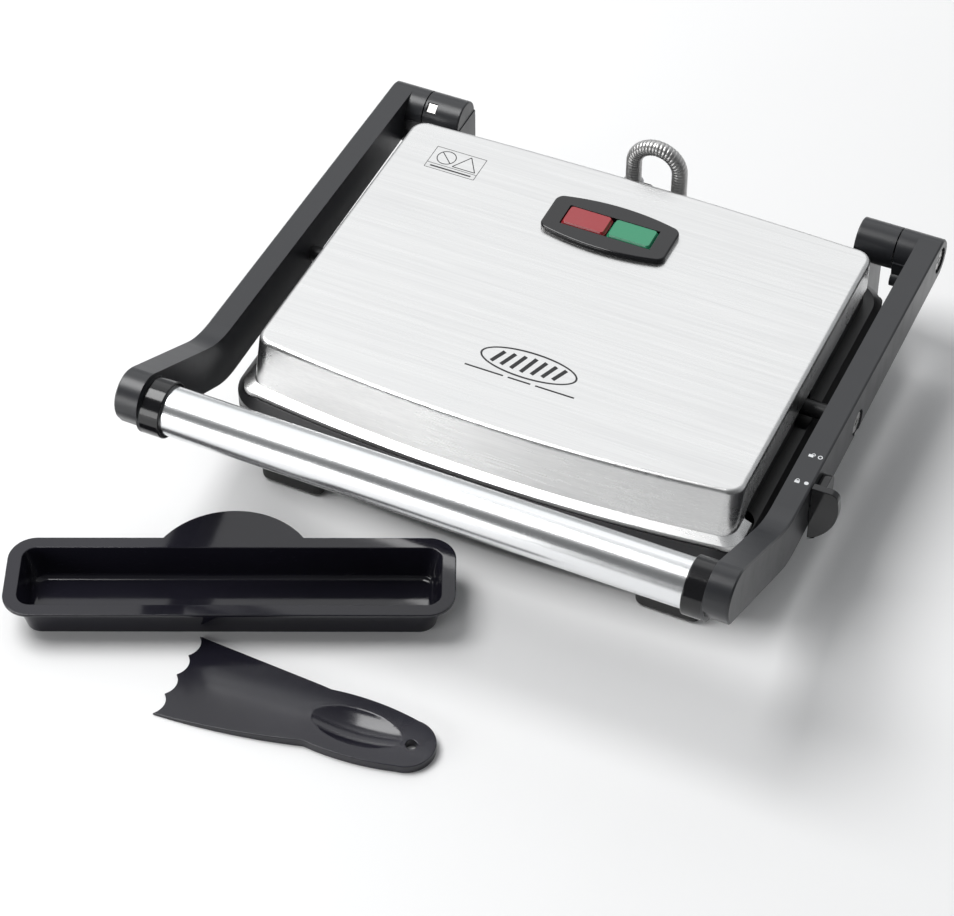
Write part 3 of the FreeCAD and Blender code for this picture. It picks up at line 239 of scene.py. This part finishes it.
def grain_group():
    """Fine moulded or cast grain, with a soft mottle."""
    group, inside, out = new_group(
        "moulded grain",
        [("Vector", "NodeSocketVector", None), ("Grains per metre", "NodeSocketFloat", 2200.0)],
        [("Height", "NodeSocketFloat"), ("Mottle", "NodeSocketFloat")])
    vector = inside.outputs["Vector"]
    size = inside.outputs["Grains per metre"]
    cells = group.nodes.new("ShaderNodeTexVoronoi")
    cells.feature = "SMOOTH_F1"
    group.links.new(vector, cells.inputs["Vector"])
    group.links.new(size, cells.inputs["Scale"])
    small = noise(group, vector, math_node(group, "MULTIPLY", size, 0.6))
    half_small = math_node(group, "MULTIPLY", small, 0.5)
    height = math_node(group, "MULTIPLY_ADD", cells.outputs["Distance"], 0.6, half_small)
    group.links.new(height, out.inputs["Height"])
    mottle = noise(group, vector, math_node(group, "MULTIPLY", size, 0.015), detail=4.0, roughness=0.6)
    group.links.new(spread(group, mottle, low=0.32, high=0.68), out.inputs["Mottle"])
    return group


def handling_group():
    """Soft smudges where hands and cloths have been, with thin wiping streaks."""
    group, inside, out = new_group(
        "handling marks",
        [("Vector", "NodeSocketVector", None), ("Size", "NodeSocketFloat", 14.0)],
        [("Smudge", "NodeSocketFloat")])
    vector = inside.outputs["Vector"]
    size = inside.outputs["Size"]
    patches = spread(group, noise(group, vector, size, detail=4.0, roughness=0.55), low=0.42, high=0.7)
    turned = group.nodes.new("ShaderNodeMapping")
    turned.inputs["Rotation"].default_value = (0.0, 0.0, 0.6)
    turned.inputs["Scale"].default_value = (1.0, 9.0, 3.0)
    group.links.new(vector, turned.inputs["Vector"])
    wiped = noise(group, turned.outputs[0], size, detail=3.0, roughness=0.6)
    streaks = spread(group, wiped, low=0.45, high=0.75)
    smudge = math_node(group, "MULTIPLY_ADD", streaks, 0.4, math_node(group, "MULTIPLY", patches, 0.6))
    group.links.new(smudge, out.inputs["Smudge"])
    return group


BRUSH = brushed_group()
GRAIN = grain_group()
HANDLING = handling_group()


# ---------------------------------------------------------------- materials
def new_material(name, colour, **constants):
    """A Principled material; constants go on the shader's own sockets."""
    made = bpy.data.materials.new(name)
    made.use_nodes = True
    shader = made.node_tree.nodes["Principled BSDF"]
    shader.inputs["Base Color"].default_value = (*colour, 1.0)
    for socket, value in constants.items():
        shader.inputs[socket.replace("_", " ").title().replace("Ior", "IOR")].default_value = value
    made.diffuse_color = (*colour, 1.0)
    return made, made.node_tree, shader


def place_group(tree, group, **values):
    """Places a node group with its own values, read on the piece's Object coordinates."""
    node = tree.nodes.new("ShaderNodeGroup")
    node.node_tree = group
    coords = tree.nodes.get("coordinates") or tree.nodes.new("ShaderNodeTexCoord")
    coords.name = "coordinates"
    tree.links.new(coords.outputs["Object"], node.inputs["Vector"])
    for socket, value in values.items():
        node.inputs[socket.replace("_", " ")].default_value = value
    return node.outputs


def tint(tree, shader, colour_a, colour_b, factor):
    """Base Color between two colours."""
    mix = tree.nodes.new("ShaderNodeMix")
    mix.data_type = "RGBA"
    mix.inputs["A"].default_value = (*colour_a, 1.0)
    mix.inputs["B"].default_value = (*colour_b, 1.0)
    tree.links.new(factor, mix.inputs["Factor"])
    tree.links.new(mix.outputs["Result"], shader.inputs["Base Color"])


def roughen(tree, shader, factor, smooth, rough):
    """Roughness from smooth, where the factor is 0, to rough, where it is 1."""
    tree.links.new(spread(tree, factor, 0.0, 1.0, smooth, rough), shader.inputs["Roughness"])


def relief(tree, shader, height, depth, rounding=0.0):
    """Bump from a height, in metres, over edges that are rounded by the given radius."""
    bump = tree.nodes.new("ShaderNodeBump")
    bump.inputs["Strength"].default_value = 1.0
    bump.inputs["Distance"].default_value = depth
    tree.links.new(height, bump.inputs["Height"])
    if rounding:
        soft = tree.nodes.new("ShaderNodeBevel")
        soft.samples = 4
        soft.inputs["Radius"].default_value = rounding
        tree.links.new(soft.outputs[0], bump.inputs["Normal"])
    tree.links.new(bump.outputs[0], shader.inputs["Normal"])


def scaled(colour, factor):
    return tuple(channel * factor for channel in colour)


def brushed_metal(name, colour, lines_colour, smooth, rough, across, along, depth, rounding=0.0):
    made, tree, shader = new_material(name, colour, metallic=1.0)
    brush = place_group(tree, BRUSH, Across=across, Along=along)
    marks = place_group(tree, HANDLING)
    tint(tree, shader, colour, lines_colour, brush["Lines"])
    half_smudge = math_node(tree, "MULTIPLY", marks["Smudge"], 0.5)
    wear = math_node(tree, "MULTIPLY_ADD", brush["Lines"], 0.5, half_smudge)
    roughen(tree, shader, wear, smooth, rough)
    relief(tree, shader, brush["Height"], depth, rounding)
    return made


def plain_metal(name, colour, smooth, rough, grains=900.0, depth=6e-6, rounding=0.0):
    made, tree, shader = new_material(name, colour, metallic=1.0)
    grain = place_group(tree, GRAIN, Grains_per_metre=grains)
    tint(tree, shader, colour, scaled(colour, 0.72), grain["Mottle"])
    roughen(tree, shader, grain["Mottle"], smooth, rough)
    relief(tree, shader, grain["Height"], depth, rounding)
    return made


def moulded(name, colour, smooth, rough, grains, depth, coat=0.0, rounding=0.0003, level=0.5):
    made, tree, shader = new_material(name, colour, specular_ior_level=level, coat_weight=coat,
                                      coat_roughness=0.08)
    grain = place_group(tree, GRAIN, Grains_per_metre=grains)
    marks = place_group(tree, HANDLING)
    tint(tree, shader, colour, scaled(colour, 1.5), grain["Mottle"])
    roughen(tree, shader, marks["Smudge"], smooth, rough)
    relief(tree, shader, grain["Height"], depth, rounding)
    return made


def arm_plastic(name):
    """Satin charcoal moulding, with a gloss on the round end pieces beside the handle tube."""
    made, tree, shader = new_material(name, CHARCOAL)
    grain = place_group(tree, GRAIN, Grains_per_metre=2600.0)
    marks = place_group(tree, HANDLING)
    place = tree.nodes.new("ShaderNodeSeparateXYZ")
    tree.links.new(tree.nodes["coordinates"].outputs["Object"], place.inputs[0])
    inside = math_node(tree, "LESS_THAN", math_node(tree, "ABSOLUTE", place.outputs["X"]), END_PIECE_X)
    ahead = math_node(tree, "LESS_THAN", place.outputs["Y"], END_PIECE_Y)
    end_piece = math_node(tree, "MULTIPLY", inside, ahead)
    tint(tree, shader, CHARCOAL, GLOSS_BLACK, end_piece)
    satin = spread(tree, marks["Smudge"], 0.0, 1.0, to_low=0.30, to_high=0.40)
    roughen(tree, shader, end_piece, smooth=satin, rough=0.13)
    relief(tree, shader, grain["Height"], depth=1.2e-5, rounding=0.0003)
    return made


def lens_plastic(name, colour):
    """Clear coloured plastic with fine diffusing ribs under a gloss skin."""
    made, tree, shader = new_material(name, colour, coat_weight=0.25, coat_roughness=0.05, roughness=0.3)
    grain = place_group(tree, GRAIN, Grains_per_metre=700.0)
    milky = tuple(0.8 * channel + 0.03 for channel in colour)
    tint(tree, shader, colour, milky, grain["Mottle"])
    relief(tree, shader, grain["Height"], depth=6e-5)
    return made


def printed_ink(name, colour):
    made, tree, shader = new_material(name, colour)
    grain = place_group(tree, GRAIN, Grains_per_metre=1500.0)
    tint(tree, shader, colour, scaled(colour, 1.3), grain["Mottle"])
    roughen(tree, shader, grain["Mottle"], smooth=0.35, rough=0.55)
    return made


def clear_glass(name):
    made, tree, shader = new_material(name, LAMP_GLASS, transmission_weight=0.8)
    grain = place_group(tree, GRAIN, Grains_per_metre=300.0)
    roughen(tree, shader, grain["Mottle"], smooth=0.03, rough=0.12)
    return made


STEEL_SKIN = brushed_metal("brushed steel", STEEL, STEEL_LINES, smooth=0.24, rough=0.36,
                           across=2600.0, along=22.0, depth=1.2e-5, rounding=0.0005)
TUBE_SKIN = brushed_metal("satin aluminium", ALUMINIUM, scaled(ALUMINIUM, 0.9), smooth=0.22, rough=0.28,
                          across=3200.0, along=12.0, depth=1.5e-6)
REFLECTOR_SKIN = brushed_metal("reflector sheet", scaled(STEEL, 0.9), STEEL_LINES, smooth=0.3, rough=0.45,
                               across=900.0, along=10.0, depth=8e-6)
ZINC = plain_metal("bright zinc", PLAIN_METAL, smooth=0.25, rough=0.4)
SCREW_SKIN = plain_metal("nickel plate", SCREW_METAL, smooth=0.18, rough=0.32, rounding=0.0002)
BRASS_SKIN = plain_metal("turned brass", BRASS, smooth=0.25, rough=0.4)
SHEATH_SKIN = plain_metal("wound steel sheath", SHEATH, smooth=0.22, rough=0.45, grains=700.0, depth=3e-5)
HEATER_SKIN = plain_metal("heat tinted sheath", HEAT_TINT, smooth=0.35, rough=0.55, grains=500.0, depth=2e-5)
HOUSING_SKIN = moulded("black housing", HOUSING, smooth=0.34, rough=0.46, grains=2400.0, depth=1.6e-5)
ARM_SKIN = arm_plastic("charcoal moulding")
GLOSS_SKIN = moulded("gloss moulding", GLOSS_BLACK, smooth=0.10, rough=0.17, grains=500.0, depth=3e-6,
                     coat=0.2, level=0.4)
PLATE_SKIN = moulded("non-stick coating", COATING, smooth=0.30, rough=0.42, grains=1700.0, depth=3.5e-5,
                     coat=0.15, rounding=0.0006)
RUBBER_SKIN = moulded("foot rubber", RUBBER, smooth=0.6, rough=0.75, grains=1800.0, depth=3e-5,
                      rounding=0.0006)
TRAY_SKIN = moulded("gloss tray moulding", TRAY, smooth=0.09, rough=0.16, grains=420.0, depth=5e-6,
                    coat=0.1, rounding=0.0005, level=0.42)
SCRAPER_SKIN = moulded("scraper moulding", scaled(TRAY, 1.15), smooth=0.14, rough=0.22, grains=480.0,
                       depth=5e-6, coat=0.1, rounding=0.0005, level=0.42)
INSULATOR_SKIN = moulded("white insulator", INSULATOR, smooth=0.4, rough=0.6, grains=900.0, depth=2e-5)
RED_SKIN = lens_plastic("red lens", RED)
GREEN_SKIN = lens_plastic("green lens", GREEN)
INK_SKIN = printed_ink("black print", INK)
WHITE_INK_SKIN = printed_ink("white print", WHITE_INK)
LAMP_SKIN = clear_glass("lamp glass")

SKIN_OF_SLOT = {
    "brushed_steel": STEEL_SKIN, "black_housing": HOUSING_SKIN, "black_arm": ARM_SKIN,
    "satin_aluminium": TUBE_SKIN, "plain_steel": ZINC, "spring_steel": ZINC, "screw_steel": SCREW_SKIN,
    "nonstick": PLATE_SKIN, "heater_sheath": HEATER_SKIN, "reflector_sheet": REFLECTOR_SKIN,
    "foot_rubber": RUBBER_SKIN, "gloss_black": GLOSS_SKIN, "red_lens": RED_SKIN, "green_lens": GREEN_SKIN,
    "tray_black": TRAY_SKIN, "scraper_black": SCRAPER_SKIN, "conduit_steel": SHEATH_SKIN,
    "black_gland": HOUSING_SKIN, "white_insulator": INSULATOR_SKIN, "lamp_glass": LAMP_SKIN,
    "brass_bush": BRASS_SKIN}


def finish_cad_nodes():
    """Gives each CAD node the finish of its slot."""
    for part in frame["record"]["subparts"]:
        mesh = NODES[part["node"]].data
        mesh.materials.clear()
        mesh.materials.append(SKIN_OF_SLOT[part["material_slot"]])


# ---------------------------------------------------------------- mesh helpers
def new_piece(name, bm, skin, body, smooth_below=35.0):
    """Turns a bmesh into a finished object at the origin that rides on a body."""
    mesh = bpy.data.meshes.new(name)
    bm.to_mesh(mesh)
    bm.free()
    mesh.materials.append(skin)
    mesh.polygons.foreach_set("use_smooth", [True] * len(mesh.polygons))
    mesh.set_sharp_from_angle(angle=math.radians(smooth_below))
    piece = bpy.data.objects.new(name, mesh)
    bpy.context.scene.collection.objects.link(piece)
    if body:
        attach(piece, body)
    return piece


def weighted_shading(piece):
    """Shades a softened piece by its large faces, so flats stay flat up to their rounded edges."""
    shading = piece.modifiers.new("face weighted shading", "WEIGHTED_NORMAL")
    shading.keep_sharp = True


def merged_copy(node):
    """A bmesh copy of a CAD node with its triangles merged and its flat faces whole."""
    bm = bmesh.new()
    bm.from_mesh(NODES[node].data)
    for layers in (bm.loops.layers, bm.verts.layers, bm.faces.layers):
        for kind in ("float_vector", "float", "int"):
            for layer in list(getattr(layers, kind).values()):
                getattr(layers, kind).remove(layer)
    bmesh.ops.remove_doubles(bm, verts=bm.verts, dist=1e-6)
    bmesh.ops.dissolve_limit(bm, angle_limit=math.radians(0.6), verts=bm.verts, edges=bm.edges,
                             delimit=set())
    return bm


def round_edges(bm, edges, width, segments):
    bmesh.ops.bevel(bm, geom=edges, offset=width, offset_type="OFFSET", affect="EDGES", segments=segments,
                    profile=0.5, material=-1, clamp_overlap=False)


def soften(bm, width, angle=28.0, segments=2):
    """Rounds every edge sharper than the angle."""
    sharp = [e for e in bm.edges if e.is_manifold and e.calc_face_angle() > math.radians(angle)]
    round_edges(bm, sharp, width, segments)


def block(bm, low, high):
    """Adds a box between two corners and returns its vertices."""
    low, high = Vector(low), Vector(high)
    size = Matrix.Diagonal((high - low).to_4d())
    size[3][3] = 1.0
    place = Matrix.Translation((low + high) / 2) @ size
    return bmesh.ops.create_cube(bm, size=1.0, matrix=place)["verts"]


def turn(bm, verts, angle, axis, centre):
    """Turns vertices about an axis through the centre."""
    bmesh.ops.rotate(bm, verts=verts, cent=centre, matrix=Matrix.Rotation(angle, 3, axis))


def flat_ring(bm, centre, outer, width, thick, segments, flatten=1.0):
    """Adds a thin upright-walled ring, round or oval, that lies flat."""
    circle = bmesh.ops.create_circle(bm, cap_ends=False, segments=segments, radius=outer)["verts"]
    bmesh.ops.scale(bm, vec=(1.0, flatten, 1.0), verts=circle)
    bmesh.ops.translate(bm, verts=circle, vec=centre)
    edges = list({e for v in circle for e in v.link_edges})
    inner = bmesh.ops.extrude_edge_only(bm, edges=edges)["geom"]
    verts = [g for g in inner if isinstance(g, bmesh.types.BMVert)]
    shrink = (1.0 - width / outer, 1.0 - width / (outer * flatten), 1.0)
    bmesh.ops.scale(bm, vec=shrink, verts=verts, space=Matrix.Translation(-Vector(centre)))
    faces = [g for g in inner if isinstance(g, bmesh.types.BMFace)]
    raised = bmesh.ops.extrude_face_region(bm, geom=faces)["geom"]
    top = [g for g in raised if isinstance(g, bmesh.types.BMVert)]
    bmesh.ops.translate(bm, verts=top, vec=(0, 0, thick))
    bmesh.ops.recalc_face_normals(bm, faces=bm.faces)


def flat_bar(bm, start, end, width, thick):
    """Adds a thin straight line of print from start to end."""
    start, end = Vector(start), Vector(end)
    run = end - start
    middle = (start + end) / 2
    half = Vector((run.length / 2, width / 2, 0))
    verts = block(bm, middle - half, middle + half + Vector((0, 0, thick)))
    turn(bm, verts, math.atan2(run.y, run.x), "Z", middle)


def flat_outline(bm, corners, width, thick):
    """Adds a closed outline of print through the corners."""
    for start, end in zip(corners, corners[1:] + corners[:1]):
        flat_bar(bm, start, end, width, thick)


def surface_z(node, x, y):
    """Height of a CAD node's top surface at x, y."""
    mesh = NODES[node].data
    tree = BVHTree.FromPolygons([v.co for v in mesh.vertices], [p.vertices for p in mesh.polygons])
    return tree.ray_cast(Vector((x, y, 1.0)), Vector((0, 0, -1)))[0].z


# ---------------------------------------------------------------- lock slider, scraper and tray
def make_small_moulding(node, name, skin, body):
    """A CAD node's shape with its edges rounded."""
    bm = merged_copy(node)
    soften(bm, SMALL_EDGE)
    piece = new_piece(name, bm, skin, body)
    weighted_shading(piece)
    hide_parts(node)


def make_tray():
    """Tray with soft outer edges and wide fillets round its floor."""
    bm = merged_copy("drip_tray")
    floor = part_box("drip_tray")[0].z + TRAY_WALL
    inner = [e for e in bm.edges if e.is_manifold and not e.is_convex and e.calc_face_angle() > TRAY_CORNER
             and max(v.co.z for v in e.verts) < floor + TRAY_FLOOR_SLACK]
    round_edges(bm, inner, TRAY_FILLET, segments=5)
    soften(bm, TRAY_EDGE, segments=3)
    piece = new_piece("drip_tray_moulding", bm, TRAY_SKIN, "tray")
    weighted_shading(piece)
    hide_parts("drip_tray")


# ---------------------------------------------------------------- indicator lights
def make_lens(node, skin):
    """A lens with round corners, a raised window and a soft outer edge."""
    low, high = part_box(node)
    bm = bmesh.new()
    block(bm, low, high)
    upright = [e for e in bm.edges if abs(e.verts[0].co.z - e.verts[1].co.z) > LENS_UPRIGHT]
    round_edges(bm, upright, LENS_CORNER, segments=6)
    top = [f for f in bm.faces if f.normal.z > FACES_UP]
    rim = bmesh.ops.inset_region(bm, faces=top, thickness=LENS_BORDER)["faces"]
    for face in rim:
        for vert in face.verts:
            if all(f in rim or f.normal.z < FACES_ASIDE for f in vert.link_faces):
                vert.co.z -= LENS_STEP
    soften(bm, LENS_EDGE, angle=12.0, segments=3)
    piece = new_piece(node + "_cover", bm, skin, "upper_press", smooth_below=40.0)
    weighted_shading(piece)
    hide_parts(node)


# ---------------------------------------------------------------- power link
def wind_strip(bm, radius, length):
    """Adds a strip wound round Z, from the origin up."""
    turns = length / WIND_PITCH
    steps = int(turns * STEPS_PER_TURN)
    section = bmesh.ops.create_circle(bm, segments=STRIP_SIDES, radius=1.0)["verts"]
    bmesh.ops.scale(bm, vec=(WIND_STRIP, WIND_PITCH * WIND_LAP, 1.0), verts=section)
    turn(bm, section, math.pi / 2, "X", (0, 0, 0))
    bmesh.ops.translate(bm, verts=section, vec=(radius - WIND_STRIP, 0, 0))
    bmesh.ops.spin(bm, geom=list(bm.verts) + list(bm.edges), cent=(0, 0, 0), axis=(0, 0, 1),
                   dvec=(0, 0, length / steps), angle=turns * math.tau, steps=steps, use_merge=False)


def add_core(bm, radius, length):
    """Adds the tube that closes the gaps between the strip's turns."""
    core = bmesh.ops.create_circle(bm, segments=CORE_SIDES, radius=radius - CORE_INSET)["verts"]
    edges = list({e for v in core for e in v.link_edges})
    for _ in range(CORE_RINGS):
        grown = bmesh.ops.extrude_edge_only(bm, edges=edges)["geom"]
        moved = [g for g in grown if isinstance(g, bmesh.types.BMVert)]
        edges = [g for g in grown if isinstance(g, bmesh.types.BMEdge) and all(v in moved for v in g.verts)]
        bmesh.ops.translate(bm, verts=moved, vec=(0, 0, length / CORE_RINGS))


def onto_loop(co, centre, side, leg, bend):
    """Takes a point of an upright sheath onto one leg and quarter turn of the loop."""
    out = bend + co.x
    if co.z < leg:
        return centre + Vector((side * out, co.y, co.z - leg))
    angle = (co.z - leg) / bend
    return centre + Vector((side * out * math.cos(angle), co.y, out * math.sin(angle)))


def make_link():
    """A strip-wound steel sheath over a core, in two lengths that meet at the top of the loop."""
    low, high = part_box("link_conduit")
    radius = (high.y - low.y) / 2
    bend = (high.x - low.x) / 2 - radius
    centre = Vector(((low.x + high.x) / 2, (low.y + high.y) / 2, high.z - radius - bend))
    for side, gland, body, name in ((1, "base_link_gland", "base", "lower_link_sheath"),
                                    (-1, "lid_link_gland", "upper_press", "upper_link_sheath")):
        foot_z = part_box(gland)[1].z - LINK_SUNK
        leg = centre.z - foot_z
        length = leg + math.pi * bend / 2
        bm = bmesh.new()
        wind_strip(bm, radius, length)
        add_core(bm, radius, length)
        for vert in bm.verts:
            vert.co = onto_loop(vert.co, centre, side, leg, bend)
        bmesh.ops.recalc_face_normals(bm, faces=bm.faces)
        piece = new_piece(name, bm, SHEATH_SKIN, None)
        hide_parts("link_conduit")
        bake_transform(piece)


# ---------------------------------------------------------------- printed marks
def make_cover_badge():
    """A generic badge of grill bars in an oval, over a broken line, printed on the steel."""
    centre = Vector((BADGE_X, BADGE_Y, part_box("steel_cover")[1].z))
    bm = bmesh.new()
    flat_ring(bm, centre, BADGE_R, BADGE_LINE, COVER_INK_T, segments=72, flatten=BADGE_OVAL)
    for index in BADGE_BARS:
        half = BADGE_BAR_HALF - abs(index) * BADGE_BAR_LESS
        middle = centre + Vector((index * BADGE_BAR_PITCH, 0, 0))
        reach = Vector((BADGE_BAR_SLANT / 2, half, 0))
        flat_bar(bm, middle - reach, middle + reach, BADGE_BAR_W, COVER_INK_T)
    for left, right in DASHES:
        start = centre + Vector((left, -DASH_DROP, 0))
        flat_bar(bm, start, start + Vector((right - left, 0, 0)), DASH_LINE, COVER_INK_T)
    new_piece("cover_badge_print", bm, INK_SKIN, "upper_press")


def make_cover_label():
    """A wordless label of two plain symbols in a frame, under a band with a plain line."""
    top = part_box("steel_cover")[1].z

    def on_label(x, y):
        return Vector((LABEL_LEFT + x, LABEL_NEAR + y, top))

    bm = bmesh.new()
    frame_corners = [on_label(0, 0), on_label(LABEL_W, 0), on_label(LABEL_W, LABEL_D), on_label(0, LABEL_D)]
    flat_outline(bm, frame_corners, LABEL_LINE, COVER_INK_T)
    flat_bar(bm, on_label(0, LABEL_BAND), on_label(LABEL_W, LABEL_BAND), LABEL_LINE, COVER_INK_T)
    flat_bar(bm, on_label(BAND_INSET, LABEL_BAND / 2), on_label(LABEL_W - BAND_INSET, LABEL_BAND / 2),
             DASH_LINE, COVER_INK_T)
    ring_centre = on_label(SYMBOL_INSET, BARRED_RING_UP)
    flat_ring(bm, ring_centre, BARRED_RING_R, SYMBOL_LINE, COVER_INK_T, segments=36)
    slant = Vector((BARRED_RING_BAR, -BARRED_RING_BAR, 0))
    flat_bar(bm, ring_centre - slant, ring_centre + slant, SYMBOL_LINE, COVER_INK_T)
    peak_x = LABEL_W - SYMBOL_INSET
    triangle = [on_label(peak_x, TRIANGLE_TOP), on_label(peak_x - TRIANGLE_HALF, TRIANGLE_FOOT),
                on_label(peak_x + TRIANGLE_HALF, TRIANGLE_FOOT)]
    flat_outline(bm, triangle, SYMBOL_LINE, COVER_INK_T)
    new_piece("cover_symbol_print", bm, INK_SKIN, "upper_press")


def make_arm_marks():
    """Ring for open and dot for locked, each with a small padlock sign, on the right arm's top."""
    bm = bmesh.new()
    for y, shut in ((OPEN_MARK_Y, False), (LOCK_MARK_Y, True)):
        mark = Vector((MARK_X, y, surface_z("right_arm", MARK_X, y)))
        if shut:
            flat_ring(bm, mark, DOT_R, DOT_R - DOT_EYE, ARM_INK_T, segments=20)
        else:
            flat_ring(bm, mark, RING_R, RING_LINE, ARM_INK_T, segments=20)
        sign = Vector((PADLOCK_X, y - PADLOCK_BACK, surface_z("right_arm", PADLOCK_X, y)))
        corner = Vector((PADLOCK_HALF_W, PADLOCK_HALF_D, 0))
        block(bm, sign - corner, sign + corner + Vector((0, 0, ARM_INK_T)))
        shackle = sign + Vector((0.0 if shut else SHACKLE_ASIDE, SHACKLE_UP, 0))
        flat_ring(bm, shackle, SHACKLE_R, SHACKLE_LINE, ARM_INK_T, segments=16)
    new_piece("arm_marks_print", bm, WHITE_INK_SKIN, "arm_frame")


# ---------------------------------------------------------------- stage, lights and camera
CAMERA_AZIMUTH = 25.163
CAMERA_ELEVATION = 45.934
CAMERA_ROLL = -0.487
CAMERA_DISTANCE = 1.7113
CAMERA_TARGET = (0.0069, -0.1427, 0.089)
CAMERA_LENS = 116.7
SENSOR_WIDTH = 36.0

FLOOR_HALF = 6.0
SKY_FROM = -0.3              # direction Y at which the sky starts to brighten
SKY_TO = 0.5
SKY_IN_FRONT = 0.14
SKY_BEHIND = 0.55


def make_camera():
    """A long lens that looks down at the press from its front right."""
    azimuth, elevation, roll = map(math.radians, (CAMERA_AZIMUTH, CAMERA_ELEVATION, CAMERA_ROLL))
    back = Vector((math.sin(azimuth) * math.cos(elevation), -math.cos(azimuth) * math.cos(elevation),
                   math.sin(elevation)))
    right = (-back).cross(Vector((0, 0, 1))).normalized()
    up = right.cross(-back)
    tilted_right = math.cos(roll) * right + math.sin(roll) * up
    tilted_up = -math.sin(roll) * right + math.cos(roll) * up
    data = bpy.data.cameras.new("camera")
    data.lens = CAMERA_LENS
    data.sensor_width = SENSOR_WIDTH
    camera = bpy.data.objects.new("camera", data)
    bpy.context.scene.collection.objects.link(camera)
    turned = Matrix((tilted_right, tilted_up, back)).transposed().to_4x4()
    camera.matrix_world = Matrix.Translation(Vector(CAMERA_TARGET) + back * CAMERA_DISTANCE) @ turned
    bpy.context.scene.camera = camera


def softbox(name, place, aim, width, height, power):
    """A rectangular lamp, in metres and watts, turned towards the aim."""
    data = bpy.data.lights.new(name, "AREA")
    data.shape = "RECTANGLE"
    data.size = width
    data.size_y = height
    data.energy = power
    lamp = bpy.data.objects.new(name, data)
    bpy.context.scene.collection.objects.link(lamp)
    heading = (Vector(aim) - Vector(place)).to_track_quat("-Z", "Y")
    lamp.matrix_world = Matrix.Translation(place) @ heading.to_matrix().to_4x4()


def make_floor():
    bm = bmesh.new()
    bmesh.ops.create_grid(bm, x_segments=1, y_segments=1, size=FLOOR_HALF)
    mesh = bpy.data.meshes.new("studio_floor")
    bm.to_mesh(mesh)
    bm.free()
    made, tree, shader = new_material("studio floor", FLOOR, roughness=0.6)
    grain = place_group(tree, GRAIN, Grains_per_metre=60.0)
    tint(tree, shader, FLOOR_PALE, FLOOR_DEEP, grain["Mottle"])
    mesh.materials.append(made)
    floor = bpy.data.objects.new("studio_floor", mesh)
    bpy.context.scene.collection.objects.link(floor)


def make_sky():
    """Even light from all round, weaker from the front so that the near walls keep their shade."""
    world = bpy.data.worlds.new("studio")
    world.use_nodes = True
    tree = world.node_tree
    background = tree.nodes["Background"]
    background.inputs["Color"].default_value = SKY
    parts = tree.nodes.new("ShaderNodeSeparateXYZ")
    tree.links.new(tree.nodes.new("ShaderNodeTexCoord").outputs["Generated"], parts.inputs[0])
    strength = spread(tree, parts.outputs["Y"], SKY_FROM, SKY_TO, SKY_IN_FRONT, SKY_BEHIND)
    tree.links.new(strength, background.inputs["Strength"])
    bpy.context.scene.world = world
    bpy.context.scene.view_settings.view_transform = "Standard"


def make_lights():
    softbox("back_softbox", place=(-0.55, 1.35, 1.45), aim=(0.0, 0.0, 0.05), width=2.2, height=1.5, power=7.5)
    softbox("left_key", place=(-1.35, -0.25, 2.4), aim=(0.1, -0.1, 0.0), width=1.6, height=1.6, power=68.0)
    softbox("low_panel", place=(-0.8, -1.25, 0.3), aim=(-0.15, -0.3, 0.02), width=1.0, height=0.5, power=7.0)


# ---------------------------------------------------------------- everything
make_camera()
make_floor()
make_sky()
make_lights()
finish_cad_nodes()
make_small_moulding("lock_slider", "lock_slider_moulding", GLOSS_SKIN, "lock")
make_small_moulding("scraper", "scraper_moulding", SCRAPER_SKIN, "scraper_tool")
make_tray()
make_lens("red_lens", RED_SKIN)
make_lens("green_lens", GREEN_SKIN)
make_link()
make_cover_badge()
make_cover_label()
make_arm_marks()
